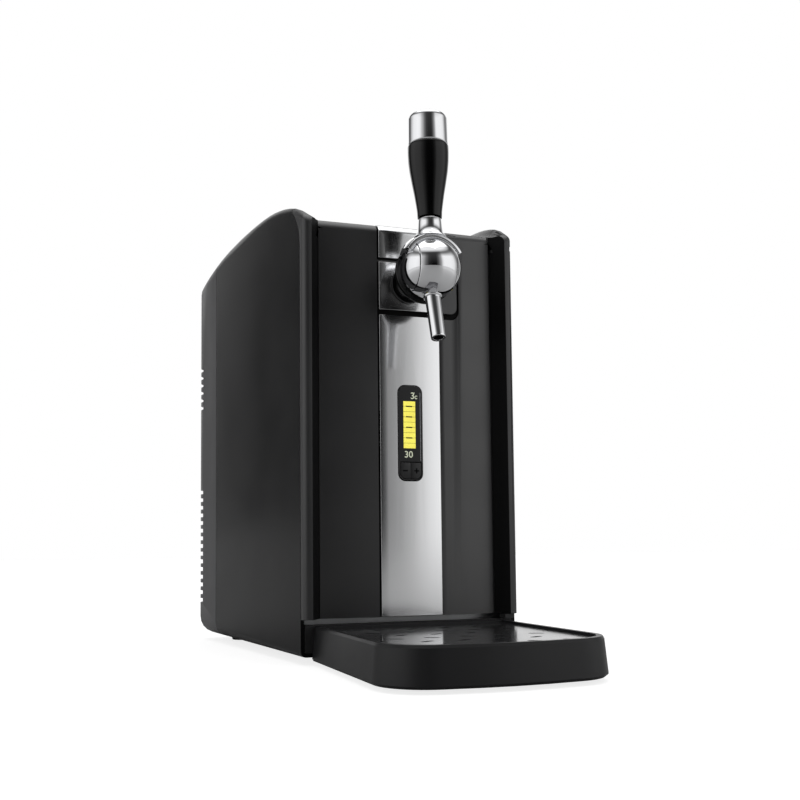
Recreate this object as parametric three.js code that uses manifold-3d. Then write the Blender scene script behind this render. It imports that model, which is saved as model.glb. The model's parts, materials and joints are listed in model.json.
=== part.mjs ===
// Mini keg dispenser with a hinged front, a tap on the front and a pull-out drip tray.
// Millimetres. +Z is up, the front faces -Y, and the origin is under the middle of the whole.
import * as THREE from 'three';
import { mergeVertices } from 'three/addons/utils/BufferGeometryUtils.js';
import Module from 'manifold-3d';

const wasm = await Module();
wasm.setup();

// Overall sizes and clearances
const overallDepth = 494;
const overallHeight = 435;
const overallWidth = 260;
const fit = 0.3;
const seam = 0.8;
const overrun = 20;
const weld = 0.02;
const roundSteps = 24;
const smallSteps = 12;

// Sizes of each piece. The casing is a box that widens to the back. Its sides rise in an arch, and at the
// front the roof lies lower between them.
const casing = {
  flare: 38.5,
  rearSpace: 38.4,
  wall: 3,
  footHeight: 6,
  roofDrop: 78,
  roofRise: 32.5,
  cornerFront: 4,
  cornerRear: 16,
  crown: 3,
  dishDrop: 3,
  dishRun: 12,
  dishBlend: 1.5,
  frontRound: 4,
  rearRound: 14,
  hemFront: 4,
  hemRear: 18,
  flange: 12,
  stations: 25,
};
// Shares of the depth, and of the sides' rise there
const roofShares = [
  [0, 0], [0.049, 0.28], [0.082, 0.43], [0.101, 0.5], [0.172, 0.7], [0.27, 0.87],
  [0.37, 0.95], [0.484, 0.99], [0.588, 1], [0.727, 0.96], [0.864, 0.8], [0.938, 0.66], [1, 0.5],
];
// How much the middle of the roof climbs for each length back, until it meets the sides' line
const dishSlopeShare = 0.3;
const roofCover = { half: 62, drop: 100.5 };
const rearCoverDepth = 69;

// The front door: cheeks on both sides, a bowed panel and a bright strip down the middle
const door = {
  edge: 9,
  bottom: 35.7,
  topDrop: 12,
  cornerTop: 8,
  panelBack: 8,
  panelInset: 15.5,
  mouthInset: 6.5,
  mouthSkin: 1.5,
  bow: 6,
  lip: 9,
  lipRise: 0.2,
  panelWall: 4.6,
  skin: 3,
  coreInset: 7.5,
  bar: 6,
  coreBack: 21,
  linerInset: 3.7,
  linerThick: 3.4,
  linerMargin: 4,
  sealWidth: 5,
  sealThick: 3.7,
};
// The door's seam in side view: it leaves the upright, runs back under the roof line and turns up
const seamLine = { startDrop: 22, bend: 5, bendBack: 22, end: 39, endBack: 30, steps: 9 };
const hinge = {
  edge: 4.5,
  inset: 4,
  back: 4,
  pin: 2.2,
  eye: 2.5,
  pinLength: 12,
  plate: 3.5,
  trimDrop: 5,
  lowArm: 7,
  highArm: 14,
  highEnd: 23.5,
  run: 12,
};
const strip = { half: 27, thick: 1.9, proud: 0.4 };
const bay = { above: 18.3, below: 21.5, topGap: 3.2, footGap: 5, right: 44, sideGap: 2, corner: 6 };

// The display and its two buttons, set into the strip
const display = { half: 10.5, corner: 6, drop: 84.2, length: 79, proud: 1, rim: 1.6, boardThick: 1.6 };
const button = { height: 15, flange: 0.8, flangeThick: 1 };

// The tap: a fixed ball in a bell-shaped socket, and a lever that turns about the ball's middle
const tap = {
  out: 52,
  drop: 47.5,
  ball: 23.7,
  drumHalf: 15,
  socket: 24.4,
  socketReach: 12.6,
  neck: 13.5,
  base: 15.5,
  baseThick: 3,
  tail: 8,
  nut: 13,
  pin: 3,
  pinInset: 2,
  saddleHalf: 10,
  saddleThick: 3,
  saddleReach: 21,
  saddleLow: 12,
  ferruleLow: 10.4,
  ferruleHigh: 9.3,
  gripBase: 41,
  gripLow: 9.8,
  gripHigh: 16.3,
  gripWaist: 8,
  gripShoulder: 8,
  capBase: 100,
  cap: 15.8,
  capRound: 4,
  lean: 0.03,
  stem: 4,
  stemLength: 22,
  stemTravel: 5,
};
const spout = {
  top: 6.4,
  mouth: 5.8,
  bore: 3.8,
  length: 41.5,
  start: 19,
  lean: 0.3,
  back: 4,
  collar: 7.4,
  collarHeight: 3,
};

// The drip tray and its plate
const tray = {
  inset: 10.5,
  spread: 3,
  bottom: 3,
  height: 27.5,
  corner: 36,
  bow: 4,
  wall: 3.5,
  floor: 3,
  rim: 2,
  ledge: 3,
  plateDrop: 2,
  plateThick: 2.4,
  tongueHalf: 6,
  tongueInset: 28,
  tongueLow: 11,
  tongueThick: 4,
  tongueLength: 14,
};
const slot = { length: 12, width: 4.5, rows: 6, columns: 5, rowPitch: 26, columnPitch: 27, turn: 0.5 };

// The keg's cooled chamber and what cools it
const chamber = { inset: 5, kegBehind: 88, low: 44, topDrop: 15, sheet: 1.6, foamBack: 10 };
const cooler = { drop: 130, plate: 60, module: 40, moduleThick: 4 };
const sink = { side: 96, base: 5, depth: 24, fins: 11, fin: 1.8 };
const fan = {
  side: 92,
  depth: 25,
  duct: 43,
  hub: 19,
  seat: 15,
  blades: 7,
  bladeThick: 1.6,
  bar: 3,
  bladeTurn: 42,
  shaft: 3,
};
const base = { thick: 9, toeThick: 3 };
const foot = { radius: 11, sole: 10, inset: 30, frontInset: 26, rearInset: 40 };
const vent = { slots: 15, upperSlots: 6, pitch: 8, height: 4, low: 38, upperDrop: 118, reach: 22 };
const grille = { half: 38, slots: 11, pitch: 8, height: 4 };
const inlet = { half: 14, height: 20, z: 50, inset: 60, depth: 22, flange: 3, flangeThick: 2 };
const inletPin = { pitch: 6, thick: 1.5, half: 3, endDepth: 6 };
const screw = { head: 4, headThick: 2.4, shank: 1.8, length: 12, sideInset: 34, low: 30, highDrop: 27 };
const supply = { width: 100, depth: 44, height: 34 };
const shelf = { thick: 2.5, edge: 3 };
const board = { width: 96, depth: 66, thick: 1.6, chip: 16, chipPitch: 26, chipHigh: 4 };
const pump = { radius: 14, length: 52, foot: 5, x: 56, inset: 40 };
const keg = { inset: 6.5, seatThick: 3 };

// Places that follow from the sizes, from the middle out
const rearY = overallDepth / 2;
const rearHalf = overallWidth / 2;
const frontHalf = rearHalf - casing.flare;
const chamberRadius = frontHalf - chamber.inset;
const doorDepth = door.coreBack + fit + door.linerThick + fit + door.sealThick + fit;
const foamDepth = chamber.sheet + fit + chamber.foamBack;
const coolerDepth = foamDepth + 2 * fit + cooler.moduleThick + fit + sink.depth + fit;
const chamberDepth = chamber.kegBehind + chamberRadius;
const casingDepth = doorDepth + chamberDepth + coolerDepth + fan.depth + casing.rearSpace;
const frontY = rearY - casingDepth;
const doorSeamY = frontY + door.edge;
const rearSeamY = rearY - rearCoverDepth;
const roofFront = overallHeight - casing.roofDrop;

const panelHalf = frontHalf - door.panelInset;
const mouthHalf = frontHalf - door.mouthInset;
const coreHalf = frontHalf - door.coreInset;
const linerHalf = frontHalf - door.linerInset;
const doorTop = roofFront - door.topDrop;
const panelY = frontY + door.panelBack;
const coreBackY = frontY + door.coreBack;
const linerFrontY = coreBackY + fit;
const linerBackY = linerFrontY + door.linerThick;
const sealBackY = linerBackY + fit + door.sealThick;
const mouthY = sealBackY + fit;
const hingeX = frontHalf - hinge.inset;
const hingeY = frontY + hinge.back;
const hingeTrimTop = roofFront - hinge.trimDrop;

const tapY = panelY - tap.out;
const tapZ = roofFront - tap.drop;
const bayLow = tapZ - bay.below;
const bayHigh = tapZ + bay.above;
const stripTop = bayLow - bay.footGap;
const capLow = bayHigh + bay.topGap;
const displayHigh = tapZ - display.drop;
const displayLow = displayHigh - display.length;
const buttonTop = displayLow + button.height;

const trayHalf = frontHalf - tray.inset;
const trayTop = tray.bottom + tray.height;
const trayBackY = doorSeamY - seam - fit;
const tongueX = trayHalf - tray.tongueInset;
const toeTop = door.bottom - hinge.plate - 2 * fit;

const chamberTop = doorTop - chamber.topDrop;
const kegY = mouthY + chamber.kegBehind;
const foamBackY = kegY + chamberRadius + foamDepth;
const coolerZ = chamberTop - cooler.drop;
const ventUpperLow = roofFront - vent.upperDrop;
const inletX = inlet.inset - rearHalf;
const screwHigh = roofFront - screw.highDrop;

// Colour, roughness and metalness
const finishes = {
  casing: [0x1b1b1c, 0.42, 0],
  cheek: [0x141415, 0.38, 0],
  panel: [0x2a2a2b, 0.36, 0],
  mirror: [0xc9ccd0, 0.08, 1],
  chrome: [0xd5d7da, 0.1, 1],
  gloss: [0x0a0a0b, 0.12, 0],
  tray: [0x1d1d1f, 0.34, 0],
  plate: [0x38383b, 0.14, 0.6],
  rubber: [0x161616, 0.85, 0],
  foam: [0xe6e4dc, 0.9, 0],
  liner: [0xb9bcc0, 0.4, 0.7],
  plastic: [0x3a3c40, 0.6, 0],
  aluminium: [0xaeb2b7, 0.4, 0.9],
  board: [0x1f5a35, 0.55, 0],
  steel: [0x9a9da1, 0.35, 0.9],
  ceramic: [0xe9e9e4, 0.5, 0],
};

// Turns a closed three.js geometry into a solid that can be cut and joined, with its faces out
function solid(geometry) {
  const bare = geometry.index ? geometry.toNonIndexed() : geometry.clone();
  bare.deleteAttribute('normal');
  bare.deleteAttribute('uv');
  const merged = mergeVertices(bare, 1e-4);
  const triVerts = new Uint32Array(merged.index.array);
  const made = () => new wasm.Manifold(new wasm.Mesh({
    numProp: 3,
    vertProperties: merged.attributes.position.array,
    triVerts,
  }));
  const first = made();
  if (first.volume() > 0) {
    return first;
  }
  for (let i = 0; i < triVerts.length; i += 3) {
    [triVerts[i + 1], triVerts[i + 2]] = [triVerts[i + 2], triVerts[i + 1]];
  }
  return made();
}

function joined(solids) {
  return solids.reduce((all, next) => all.add(next));
}

// The largest body of a cut solid, without the slivers that a thin cut leaves
function largest(made) {
  return made.decompose().sort((a, b) => b.volume() - a.volume())[0];
}

// A box between two corners
function block(x0, x1, y0, y1, z0, z1) {
  const geometry = new THREE.BoxGeometry(x1 - x0, y1 - y0, z1 - z0);
  return solid(geometry.translate((x0 + x1) / 2, (y0 + y1) / 2, (z0 + z1) / 2));
}

// A round bar along one axis, through the point given by the other two coordinates
function rod(axis, radius, from, to, u, v, steps = smallSteps, endRadius = radius) {
  const geometry = new THREE.CylinderGeometry(endRadius, radius, to - from, steps);
  const middle = (from + to) / 2;
  if (axis === 'x') {
    return solid(geometry.rotateZ(-Math.PI / 2).translate(middle, u, v));
  }
  if (axis === 'y') {
    return solid(geometry.translate(u, middle, v));
  }
  return solid(geometry.rotateX(Math.PI / 2).translate(u, v, middle));
}

function extruded(points, length) {
  const shape = new THREE.Shape(points.map(([u, v]) => new THREE.Vector2(u, v)));
  return new THREE.ExtrudeGeometry(shape, { depth: length, bevelEnabled: false });
}

// An outline in X and Y, raised from z0 to z1
function slab(points, z0, z1) {
  return solid(extruded(points, z1 - z0).translate(0, 0, z0));
}

// An outline in Y and Z, drawn across from x0 to x1
function acrossX(points, x0, x1) {
  const turn = new THREE.Matrix4().set(0, 0, 1, 0, 1, 0, 0, 0, 0, 1, 0, 0, 0, 0, 0, 1);
  return solid(extruded(points, x1 - x0).applyMatrix4(turn).translate(x0, 0, 0));
}

// An outline in X and Z, drawn back from y0 to y1
function acrossY(points, y0, y1) {
  return solid(extruded(points, y1 - y0).rotateX(Math.PI / 2).translate(0, y1, 0));
}

// A closed skin over a row of rings that all have the same number of points
function loft(rings) {
  const count = rings[0].length;
  const positions = [];
  const face = (a, b, c) => positions.push(...a, ...b, ...c);
  for (let i = 0; i + 1 < rings.length; i++) {
    for (let j = 0; j < count; j++) {
      const k = (j + 1) % count;
      face(rings[i][j], rings[i][k], rings[i + 1][k]);
      face(rings[i][j], rings[i + 1][k], rings[i + 1][j]);
    }
  }
  const last = rings[rings.length - 1];
  for (let j = 1; j + 1 < count; j++) {
    face(rings[0][0], rings[0][j + 1], rings[0][j]);
    face(last[0], last[j], last[j + 1]);
  }
  const geometry = new THREE.BufferGeometry();
  geometry.setAttribute('position', new THREE.Float32BufferAttribute(positions, 3));
  return solid(geometry);
}

function lathe(profile, steps = roundSteps) {
  const points = profile.map(([r, z]) => new THREE.Vector2(r, z));
  return solid(new THREE.LatheGeometry(points, steps).rotateX(Math.PI / 2));
}

function sphere(radius, steps = roundSteps) {
  return solid(new THREE.SphereGeometry(radius, steps, steps / 2).rotateZ(Math.PI / 2));
}

function arc(cx, cy, radius, from, to, steps) {
  return Array.from({ length: steps + 1 }, (_, i) => {
    const a = from + (to - from) * i / steps;
    return [cx + radius * Math.cos(a), cy + radius * Math.sin(a)];
  });
}

const root = new THREE.Group();

// Adds a named mesh, without the slivers narrower than the weld that cuts leave
function piece(name, made, finish, group = root) {
  const source = made.asOriginal().simplify(weld).getMesh();
  const geometry = new THREE.BufferGeometry();
  geometry.setAttribute('position', new THREE.BufferAttribute(source.vertProperties, 3));
  geometry.setIndex(new THREE.BufferAttribute(source.triVerts, 1));
  const [color, roughness, metalness] = finishes[finish];
  const mesh = new THREE.Mesh(geometry, new THREE.MeshStandardMaterial({ color, roughness, metalness }));
  mesh.name = name;
  group.add(mesh);
  return mesh;
}

// The casing's form
function share(y) {
  return (y - frontY) / casingDepth;
}

function halfWidth(y) {
  const reach = casingDepth - casing.rearRound;
  return frontHalf + (rearHalf - frontHalf) * Math.min(1, (y - frontY) / reach);
}

// The roof line as a smooth curve through its shares
const roofCurve = new THREE.SplineCurve(roofShares.map(([s, rise]) => new THREE.Vector2(s, rise)))
  .getPoints(casing.stations * 2).map(({ x, y }) => [x, y]);

// Height of the sides' upper edge at a depth
function roofZ(y) {
  const s = Math.min(1, Math.max(0, share(y)));
  const found = roofCurve.findIndex(([at]) => at >= s);
  const i = found < 0 ? roofCurve.length - 1 : Math.max(1, found);
  const [s0, z0] = roofCurve[i - 1];
  const [s1, z1] = roofCurve[i];
  return roofFront + casing.roofRise * (z0 + (z1 - z0) * (s - s0) / (s1 - s0));
}

// How far the middle of the roof lies below the sides' upper edge at a depth
function dishDepth(y) {
  const middle = roofFront - casing.dishDrop + dishSlopeShare * (y - frontY);
  const gap = Math.max(0, roofZ(y) - middle);
  return gap * gap / (gap + casing.dishBlend);
}

// One upright ring around the casing at a depth, drawn in by an inset
function ringAt(y, inset) {
  const half = halfWidth(y) - inset;
  const top = roofZ(y) - inset;
  const low = casing.footHeight + inset;
  const back = Math.min(1, Math.max(0, share(y)));
  const between = (front, rear) => Math.max(fit, front + (rear - front) * back - inset);
  const corner = between(casing.cornerFront, casing.cornerRear);
  const hem = between(casing.hemFront, casing.hemRear);
  const flat = half - corner;
  const dish = dishDepth(y);
  const crowned = (x) => top + casing.crown * back * (1 - (x / flat) ** 2);
  const slope = [1, 2, 3, 4, 5, 6].map((n) => {
    const x = flat - casing.dishRun * n / 6;
    return [x, crowned(x) - dish * (1 - Math.cos(Math.PI * n / 6)) / 2];
  });
  const inner = (flat - casing.dishRun) / 2;
  const right = [
    ...arc(half - hem, low + hem, hem, -Math.PI / 2, 0, 5),
    ...arc(flat, top - corner, corner, 0, Math.PI / 2, 6),
    ...slope,
    [inner, crowned(inner) - dish],
  ];
  const left = right.map(([x, z]) => [-x, z]).reverse();
  return [...right, [0, crowned(0) - dish], ...left].map(([x, z]) => [x, y, z]);
}

function casingForm(inset, openFront = false) {
  const front = openFront
    ? [[frontY - overrun, inset]]
    : [0, 1, 2, 3].map((n) => {
      const a = n * Math.PI / 6;
      const r = casing.frontRound;
      return [frontY + r * (1 - Math.cos(a)), inset + r * (1 - Math.sin(a))];
    });
  const bodyFrom = frontY + 2 * casing.frontRound;
  const bodyTo = rearY - casing.rearRound;
  const step = (bodyTo - bodyFrom) / casing.stations;
  const body = Array.from({ length: casing.stations }, (_, i) => [bodyFrom + step * i, inset]);
  const round = casing.rearRound - inset;
  const end = [0, 1, 2, 3, 4, 5].map((n) => {
    const a = n * Math.PI / 10;
    return [bodyTo + round * Math.sin(a), inset + round * (1 - Math.cos(a))];
  });
  return loft([...front, ...body, ...end].map(([y, e]) => ringAt(y, e)));
}

const everyX = overallWidth;
const everyZ = overallHeight;
const outer = casingForm(0);
const hollow = casingForm(casing.wall, true);
const lining = casingForm(casing.wall + fit);

// The line in side view where the door's skin meets the casing's
const seamCurve = new THREE.CubicBezierCurve(
  new THREE.Vector2(doorSeamY, roofFront - seamLine.startDrop),
  new THREE.Vector2(doorSeamY, roofFront + seamLine.bend),
  new THREE.Vector2(doorSeamY + seamLine.bendBack, roofFront + seamLine.bend),
  new THREE.Vector2(doorSeamY + seamLine.endBack, roofFront + seamLine.end),
).getPoints(seamLine.steps).map(({ x, y }) => [x, y]);

function aheadOfSeam(shift) {
  const line = seamCurve.map(([y, z]) => [y + shift, z]);
  const [endY] = line[line.length - 1];
  return acrossX([[frontY - overrun, -overrun], [doorSeamY + shift, -overrun], ...line,
    [endY, everyZ], [frontY - overrun, everyZ]], -everyX, everyX);
}

function floorHole(margin) {
  const edge = [frontY - overrun, rearSeamY, rearY - casing.flange].map((y) => [halfWidth(y) - margin, y]);
  const outline = [...edge, ...edge.map(([x, y]) => [-x, y]).reverse()];
  return slab(outline, -overrun, casing.footHeight + casing.hemRear);
}

// All that lies behind a depth
function behind(y) {
  return block(-everyX, everyX, y, rearY + overrun, -overrun, everyZ);
}

// The strip of the roof between the side shells
function roofStrip(half) {
  const low = everyZ - roofCover.drop - overrun;
  return block(-half, half, frontY - overrun, rearY, low, everyZ);
}

const skin = outer.subtract(hollow).subtract(floorHole(casing.flange + casing.hemRear / 2));
const behindDoor = skin.subtract(aheadOfSeam(seam / 2));
const middleSkin = behindDoor.subtract(behind(rearSeamY - seam / 2));

function sideShell(side) {
  const [left, right] = side < 0 ? [-everyX, 0] : [0, everyX];
  const half = block(left, right, frontY - overrun, rearY, -overrun, everyZ);
  return middleSkin.intersect(half).subtract(roofStrip(roofCover.half + fit));
}

piece('left_side_shell', sideShell(-1), 'casing');
piece('right_side_shell', sideShell(1), 'casing');
piece('roof_cover', middleSkin.intersect(roofStrip(roofCover.half)), 'casing');

// The rear cover, with slots through its corners and a grille behind the fan
function rearCover() {
  let cover = skin.intersect(behind(rearSeamY + seam / 2));
  const cuts = [];
  const cornerSlots = (count, low) => {
    for (let i = 0; i < count; i++) {
      const z = low + i * vent.pitch;
      [-1, 1].forEach((side) => {
        const ends = [side * (rearHalf - vent.reach), side * (rearHalf + overrun)];
        const [x0, x1] = ends.sort((a, b) => a - b);
        cuts.push(block(x0, x1, rearY - vent.reach, rearY + overrun, z, z + vent.height));
      });
    }
  };
  cornerSlots(vent.slots, vent.low);
  cornerSlots(vent.upperSlots, ventUpperLow);
  for (let i = 0; i < grille.slots; i++) {
    const z = coolerZ + (i - grille.slots / 2) * grille.pitch;
    cuts.push(block(-grille.half, grille.half, rearY - overrun, rearY + overrun, z, z + grille.height));
  }
  const inletHalf = inlet.half + fit;
  const inletHigh = inlet.height / 2 + fit;
  cuts.push(block(inletX - inletHalf, inletX + inletHalf, rearY - overrun, rearY + overrun,
    inlet.z - inletHigh, inlet.z + inletHigh));
  const bossFrom = rearY - casing.wall - screw.headThick;
  screwPlaces().forEach(([x, z]) => {
    cover = cover.add(rod('y', screw.head + casing.wall, bossFrom, rearY - fit, x, z));
    cuts.push(rod('y', screw.shank + fit, rearY - overrun, rearY + overrun, x, z));
    cuts.push(rod('y', screw.head + fit, rearY - screw.headThick - fit, rearY + overrun, x, z));
  });
  return cover.subtract(joined(cuts));
}

function screwPlaces() {
  const x = rearHalf - screw.sideInset;
  return [[-x, screw.low], [x, screw.low], [-x, screwHigh], [x, screwHigh]];
}

piece('rear_cover', rearCover(), 'casing');

screwPlaces().forEach(([x, z], i) => {
  const neckY = rearY - screw.headThick;
  const made = rod('y', screw.head, neckY, rearY, x, z)
    .add(rod('y', screw.shank, neckY - screw.length, neckY, x, z));
  piece(`rear_screw_${i + 1}`, made, 'steel');
});

// The base with its upright toe panel, and the posts that the rear screws bite into
const floorTop = casing.footHeight + casing.wall + fit + base.thick;

function basePan() {
  const toeBack = doorSeamY + base.toeThick;
  const pan = lining.intersect(block(-everyX, everyX, doorSeamY, rearY, -overrun, floorTop));
  const soleBackY = rearY - casing.flange - casing.hemRear;
  const sole = floorHole(casing.flange + casing.hemRear / 2 + fit)
    .intersect(block(-everyX, everyX, doorSeamY, soleBackY, casing.footHeight, floorTop));
  const toeHalf = halfWidth(doorSeamY) - casing.wall - fit;
  const toe = block(-toeHalf, toeHalf, doorSeamY, toeBack, casing.footHeight + casing.hemFront, toeTop);
  const tongues = [-1, 1].map((side) => block(side * tongueX - tray.tongueHalf - fit,
    side * tongueX + tray.tongueHalf + fit, doorSeamY - overrun, doorSeamY + tray.tongueLength + fit,
    tray.tongueLow - fit, tray.tongueLow + tray.tongueThick + fit));
  const postBackY = rearY - casing.wall - screw.headThick;
  const postLow = casing.footHeight + casing.wall + base.thick / 2;
  const posts = screwPlaces().map(([x, z]) => block(x - screw.head, x + screw.head,
    postBackY - screw.length, postBackY - fit, postLow, z + screw.head));
  const holes = screwPlaces().map(([x, z]) => (
    rod('y', screw.shank + fit, rearY - overrun - screw.length, rearY, x, z)
  ));
  return joined([pan, sole, toe, ...posts]).subtract(joined([...tongues, ...holes]));
}

piece('base_pan', basePan(), 'plastic');

[[-1, 0], [1, 0], [-1, 1], [1, 1]].forEach(([side, back]) => {
  const y = back ? rearY - foot.rearInset : doorSeamY + foot.frontInset;
  const x = side * (halfWidth(y) - foot.inset - foot.radius * back / 2);
  const name = `foot_${back ? 'rear' : 'front'}_${side < 0 ? 'left' : 'right'}`;
  piece(name, rod('z', foot.sole, 0, casing.footHeight - fit, x, y, smallSteps, foot.radius), 'rubber');
});

// The chamber: a bent metal liner with a flange, wrapped in foam
function chamberForm(grow, low, high, frontTo) {
  const r = chamberRadius + grow;
  return slab([[r, frontTo], ...arc(0, kegY, r, 0, Math.PI, smallSteps), [-r, frontTo]], low, high);
}

const plateCut = cooler.plate / 2 + fit;

function chamberLiner() {
  const out = chamberForm(chamber.sheet, chamber.low - chamber.sheet, chamberTop + chamber.sheet, mouthY);
  const flangeHalf = halfWidth(mouthY) - casing.wall - fit;
  const flange = block(-flangeHalf, flangeHalf, mouthY, mouthY + chamber.sheet, floorTop + fit, doorTop);
  return out.add(flange).subtract(chamberForm(0, chamber.low, chamberTop, mouthY - overrun));
}

function foamShell() {
  const form = lining.intersect(block(-everyX, everyX, mouthY + chamber.sheet + fit, foamBackY,
    floorTop + fit, doorTop));
  const grow = chamber.sheet + fit;
  return form.subtract(chamberForm(grow, chamber.low - grow, chamberTop + grow, mouthY - overrun))
    .subtract(block(-plateCut, plateCut, kegY, foamBackY + overrun, coolerZ - plateCut, coolerZ + plateCut));
}

piece('chamber_liner', chamberLiner(), 'liner');
piece('foam_insulation', foamShell(), 'foam');

const seatLow = chamber.low + fit;
const seat = rod('z', chamberRadius - keg.inset, seatLow, seatLow + keg.seatThick, 0, kegY, roundSteps);
piece('keg_seat', seat, 'rubber');

// The cooler behind the chamber: plate, module, heat sink and fan
const plateBackY = foamBackY + fit;
const moduleBackY = plateBackY + fit + cooler.moduleThick;
const sinkBackY = moduleBackY + fit + sink.depth;
const fanY = sinkBackY + fit;

function aroundCooler(half, y0, y1) {
  return block(-half, half, y0, y1, coolerZ - half, coolerZ + half);
}

function coldPlate() {
  const face = chamberForm(chamber.sheet + fit, 0, everyZ, mouthY);
  return aroundCooler(cooler.plate / 2, kegY + chamberRadius / 2, plateBackY).subtract(face);
}

function heatSink() {
  const half = sink.side / 2;
  const fins = Array.from({ length: sink.fins }, (_, i) => {
    const x = -half + i * (sink.side - sink.fin) / (sink.fins - 1);
    return block(x, x + sink.fin, moduleBackY + fit, sinkBackY, coolerZ - half, coolerZ + half);
  });
  return joined([aroundCooler(half, moduleBackY + fit, moduleBackY + fit + sink.base), ...fins]);
}

function fanFrame() {
  const frame = aroundCooler(fan.side / 2, fanY, fanY + fan.depth);
  const duct = rod('y', fan.duct, fanY - overrun, fanY + fan.depth + overrun, 0, coolerZ, roundSteps);
  const { bar } = fan;
  const half = fan.side / 2;
  const spokes = [block(-half, half, fanY, fanY + bar, coolerZ - bar, coolerZ + bar),
    block(-bar, bar, fanY, fanY + bar, coolerZ - half, coolerZ + half)];
  const hubSeat = rod('y', fan.seat, fanY, fanY + bar, 0, coolerZ);
  const shaft = rod('y', fan.shaft, fanY, fanY + fan.depth - bar, 0, coolerZ);
  return joined([frame.subtract(duct), ...spokes, hubSeat, shaft]);
}

piece('cold_plate', coldPlate(), 'aluminium');
piece('peltier_module', aroundCooler(cooler.module / 2, plateBackY + fit, moduleBackY), 'ceramic');
piece('heat_sink', heatSink(), 'aluminium');
piece('fan_frame', fanFrame(), 'gloss');

const fanGroup = new THREE.Group();
fanGroup.position.set(0, fanY + fan.bar + fit, coolerZ);
root.add(fanGroup);

function fanRotor() {
  const depth = fan.depth - fan.bar - 3 * fit;
  const hub = rod('y', fan.hub, 0, depth, 0, 0, roundSteps);
  const blades = Array.from({ length: fan.blades }, (_, i) => {
    const thick = fan.bladeThick / 2;
    return block(0, fan.duct - 4 * thick, -thick, thick, -depth / 2, depth / 2)
      .rotate([fan.bladeTurn, 0, 0])
      .translate([0, depth / 2, 0])
      .rotate([0, i * 360 / fan.blades, 0]);
  });
  const trimmed = joined(blades).intersect(rod('y', fan.duct, 0, depth, 0, 0, roundSteps));
  return hub.add(trimmed).subtract(rod('y', fan.shaft + fit, -fit, depth - fan.bar / 2, 0, 0));
}

piece('fan_rotor', fanRotor(), 'gloss', fanGroup);

// Electrics: the supply on the base, the mains inlet, the board and the air pump under the roof
const supplyY = rearY - inlet.depth - supply.depth - 2 * fit;
const supplyLow = floorTop + fit;
piece('power_supply', block(-supply.width / 2, supply.width / 2, supplyY, supplyY + supply.depth,
  supplyLow, supplyLow + supply.height), 'steel');

function mainsInlet() {
  const { z } = inlet;
  const around = (grow, y0, y1) => block(inletX - inlet.half - grow, inletX + inlet.half + grow, y0, y1,
    z - inlet.height / 2 - grow, z + inlet.height / 2 + grow);
  const frontOfBody = rearY - inlet.depth;
  const rimBackY = rearY - casing.wall - fit;
  const body = around(0, frontOfBody, rearY - inlet.flangeThick / 2);
  const rim = around(inlet.flange, rimBackY - inlet.flangeThick, rimBackY);
  const well = around(-inlet.flange, frontOfBody + inlet.flange, rearY + overrun);
  const pins = [-1, 0, 1].map((n) => {
    const left = inletX + n * inletPin.pitch - inletPin.thick / 2;
    return block(left, left + inletPin.thick, frontOfBody + inlet.flange / 2, rearY - inletPin.endDepth,
      z - inletPin.half, z + inletPin.half);
  });
  return joined([body.add(rim).subtract(well), ...pins]);
}

piece('mains_inlet', mainsInlet(), 'gloss');

const shelfLow = doorTop + fit;
const shelfTop = shelfLow + shelf.thick;
const boardY = kegY - board.depth / 2;
const pumpY = boardY + board.depth + pump.inset;
piece('electrics_shelf', block(-board.width / 2 - shelf.edge, pump.x + pump.radius, boardY - shelf.edge,
  pumpY + pump.radius, shelfLow, shelfTop), 'plastic');

function controlBoard() {
  const low = shelfTop + fit;
  const half = board.chip / 2;
  const plate = block(-board.width / 2, board.width / 2, boardY, boardY + board.depth, low, low + board.thick);
  const chips = [-1, 0, 1].map((n) => {
    const x = n * board.chipPitch;
    return block(x - half, x + half, kegY - half, kegY + half, low + board.thick / 2, low + board.chipHigh);
  });
  return joined([plate, ...chips]);
}

function airPump() {
  const low = shelfTop + fit;
  const z = low + pump.foot + pump.radius;
  const half = pump.radius / 2;
  const left = pump.x - pump.length;
  const body = rod('x', pump.radius, left, pump.x, pumpY, z, roundSteps);
  const feet = block(left + pump.foot, pump.x - pump.foot, pumpY - half, pumpY + half, low, z);
  return body.add(feet);
}

piece('control_board', controlBoard(), 'board');
piece('air_pump', airPump(), 'steel');

// The door
const doorGroup = new THREE.Group();
root.add(doorGroup);

function panelDepth(x) {
  return panelY + door.bow * (x / panelHalf) ** 2;
}

function acrossPanel(half) {
  return Array.from({ length: roundSteps + 1 }, (_, i) => half - 2 * half * i / roundSteps);
}

// What lies in front of the panel, between the cheeks, moved back by a shift
function panelHollow(half, mouth, shift) {
  const bowed = acrossPanel(half).map((x) => [x, panelDepth(x) + shift]);
  const front = frontY - overrun;
  return slab([...bowed, [-mouth, frontY], [-mouth, front], [mouth, front], [mouth, frontY]], -overrun, everyZ);
}

// What lies at least an inset behind the panel's face and under its lip, whose round runs out into the
// roof's slope
function panelRound(inset) {
  const lean = Math.atan(dishSlopeShare);
  const end = rearSeamY;
  const rings = acrossPanel(panelHalf).map((x) => {
    const middleY = panelDepth(x) + door.lip;
    const touchY = middleY - door.lip * Math.sin(lean);
    const middleZ = roofZ(touchY) - dishDepth(touchY) + door.lipRise - door.lip * Math.cos(lean);
    const round = arc(middleY, middleZ, door.lip - inset, Math.PI, Math.PI / 2 + lean, smallSteps);
    const [lastY, lastZ] = round[round.length - 1];
    const climb = (inset > 0 ? dishSlopeShare : 1) * (end - lastY);
    return [[end, -overrun], [middleY - door.lip + inset, -overrun], ...round, [end, lastZ + climb]]
      .map(([y, z]) => [x, y, z]);
  });
  return loft(rings);
}

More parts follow.
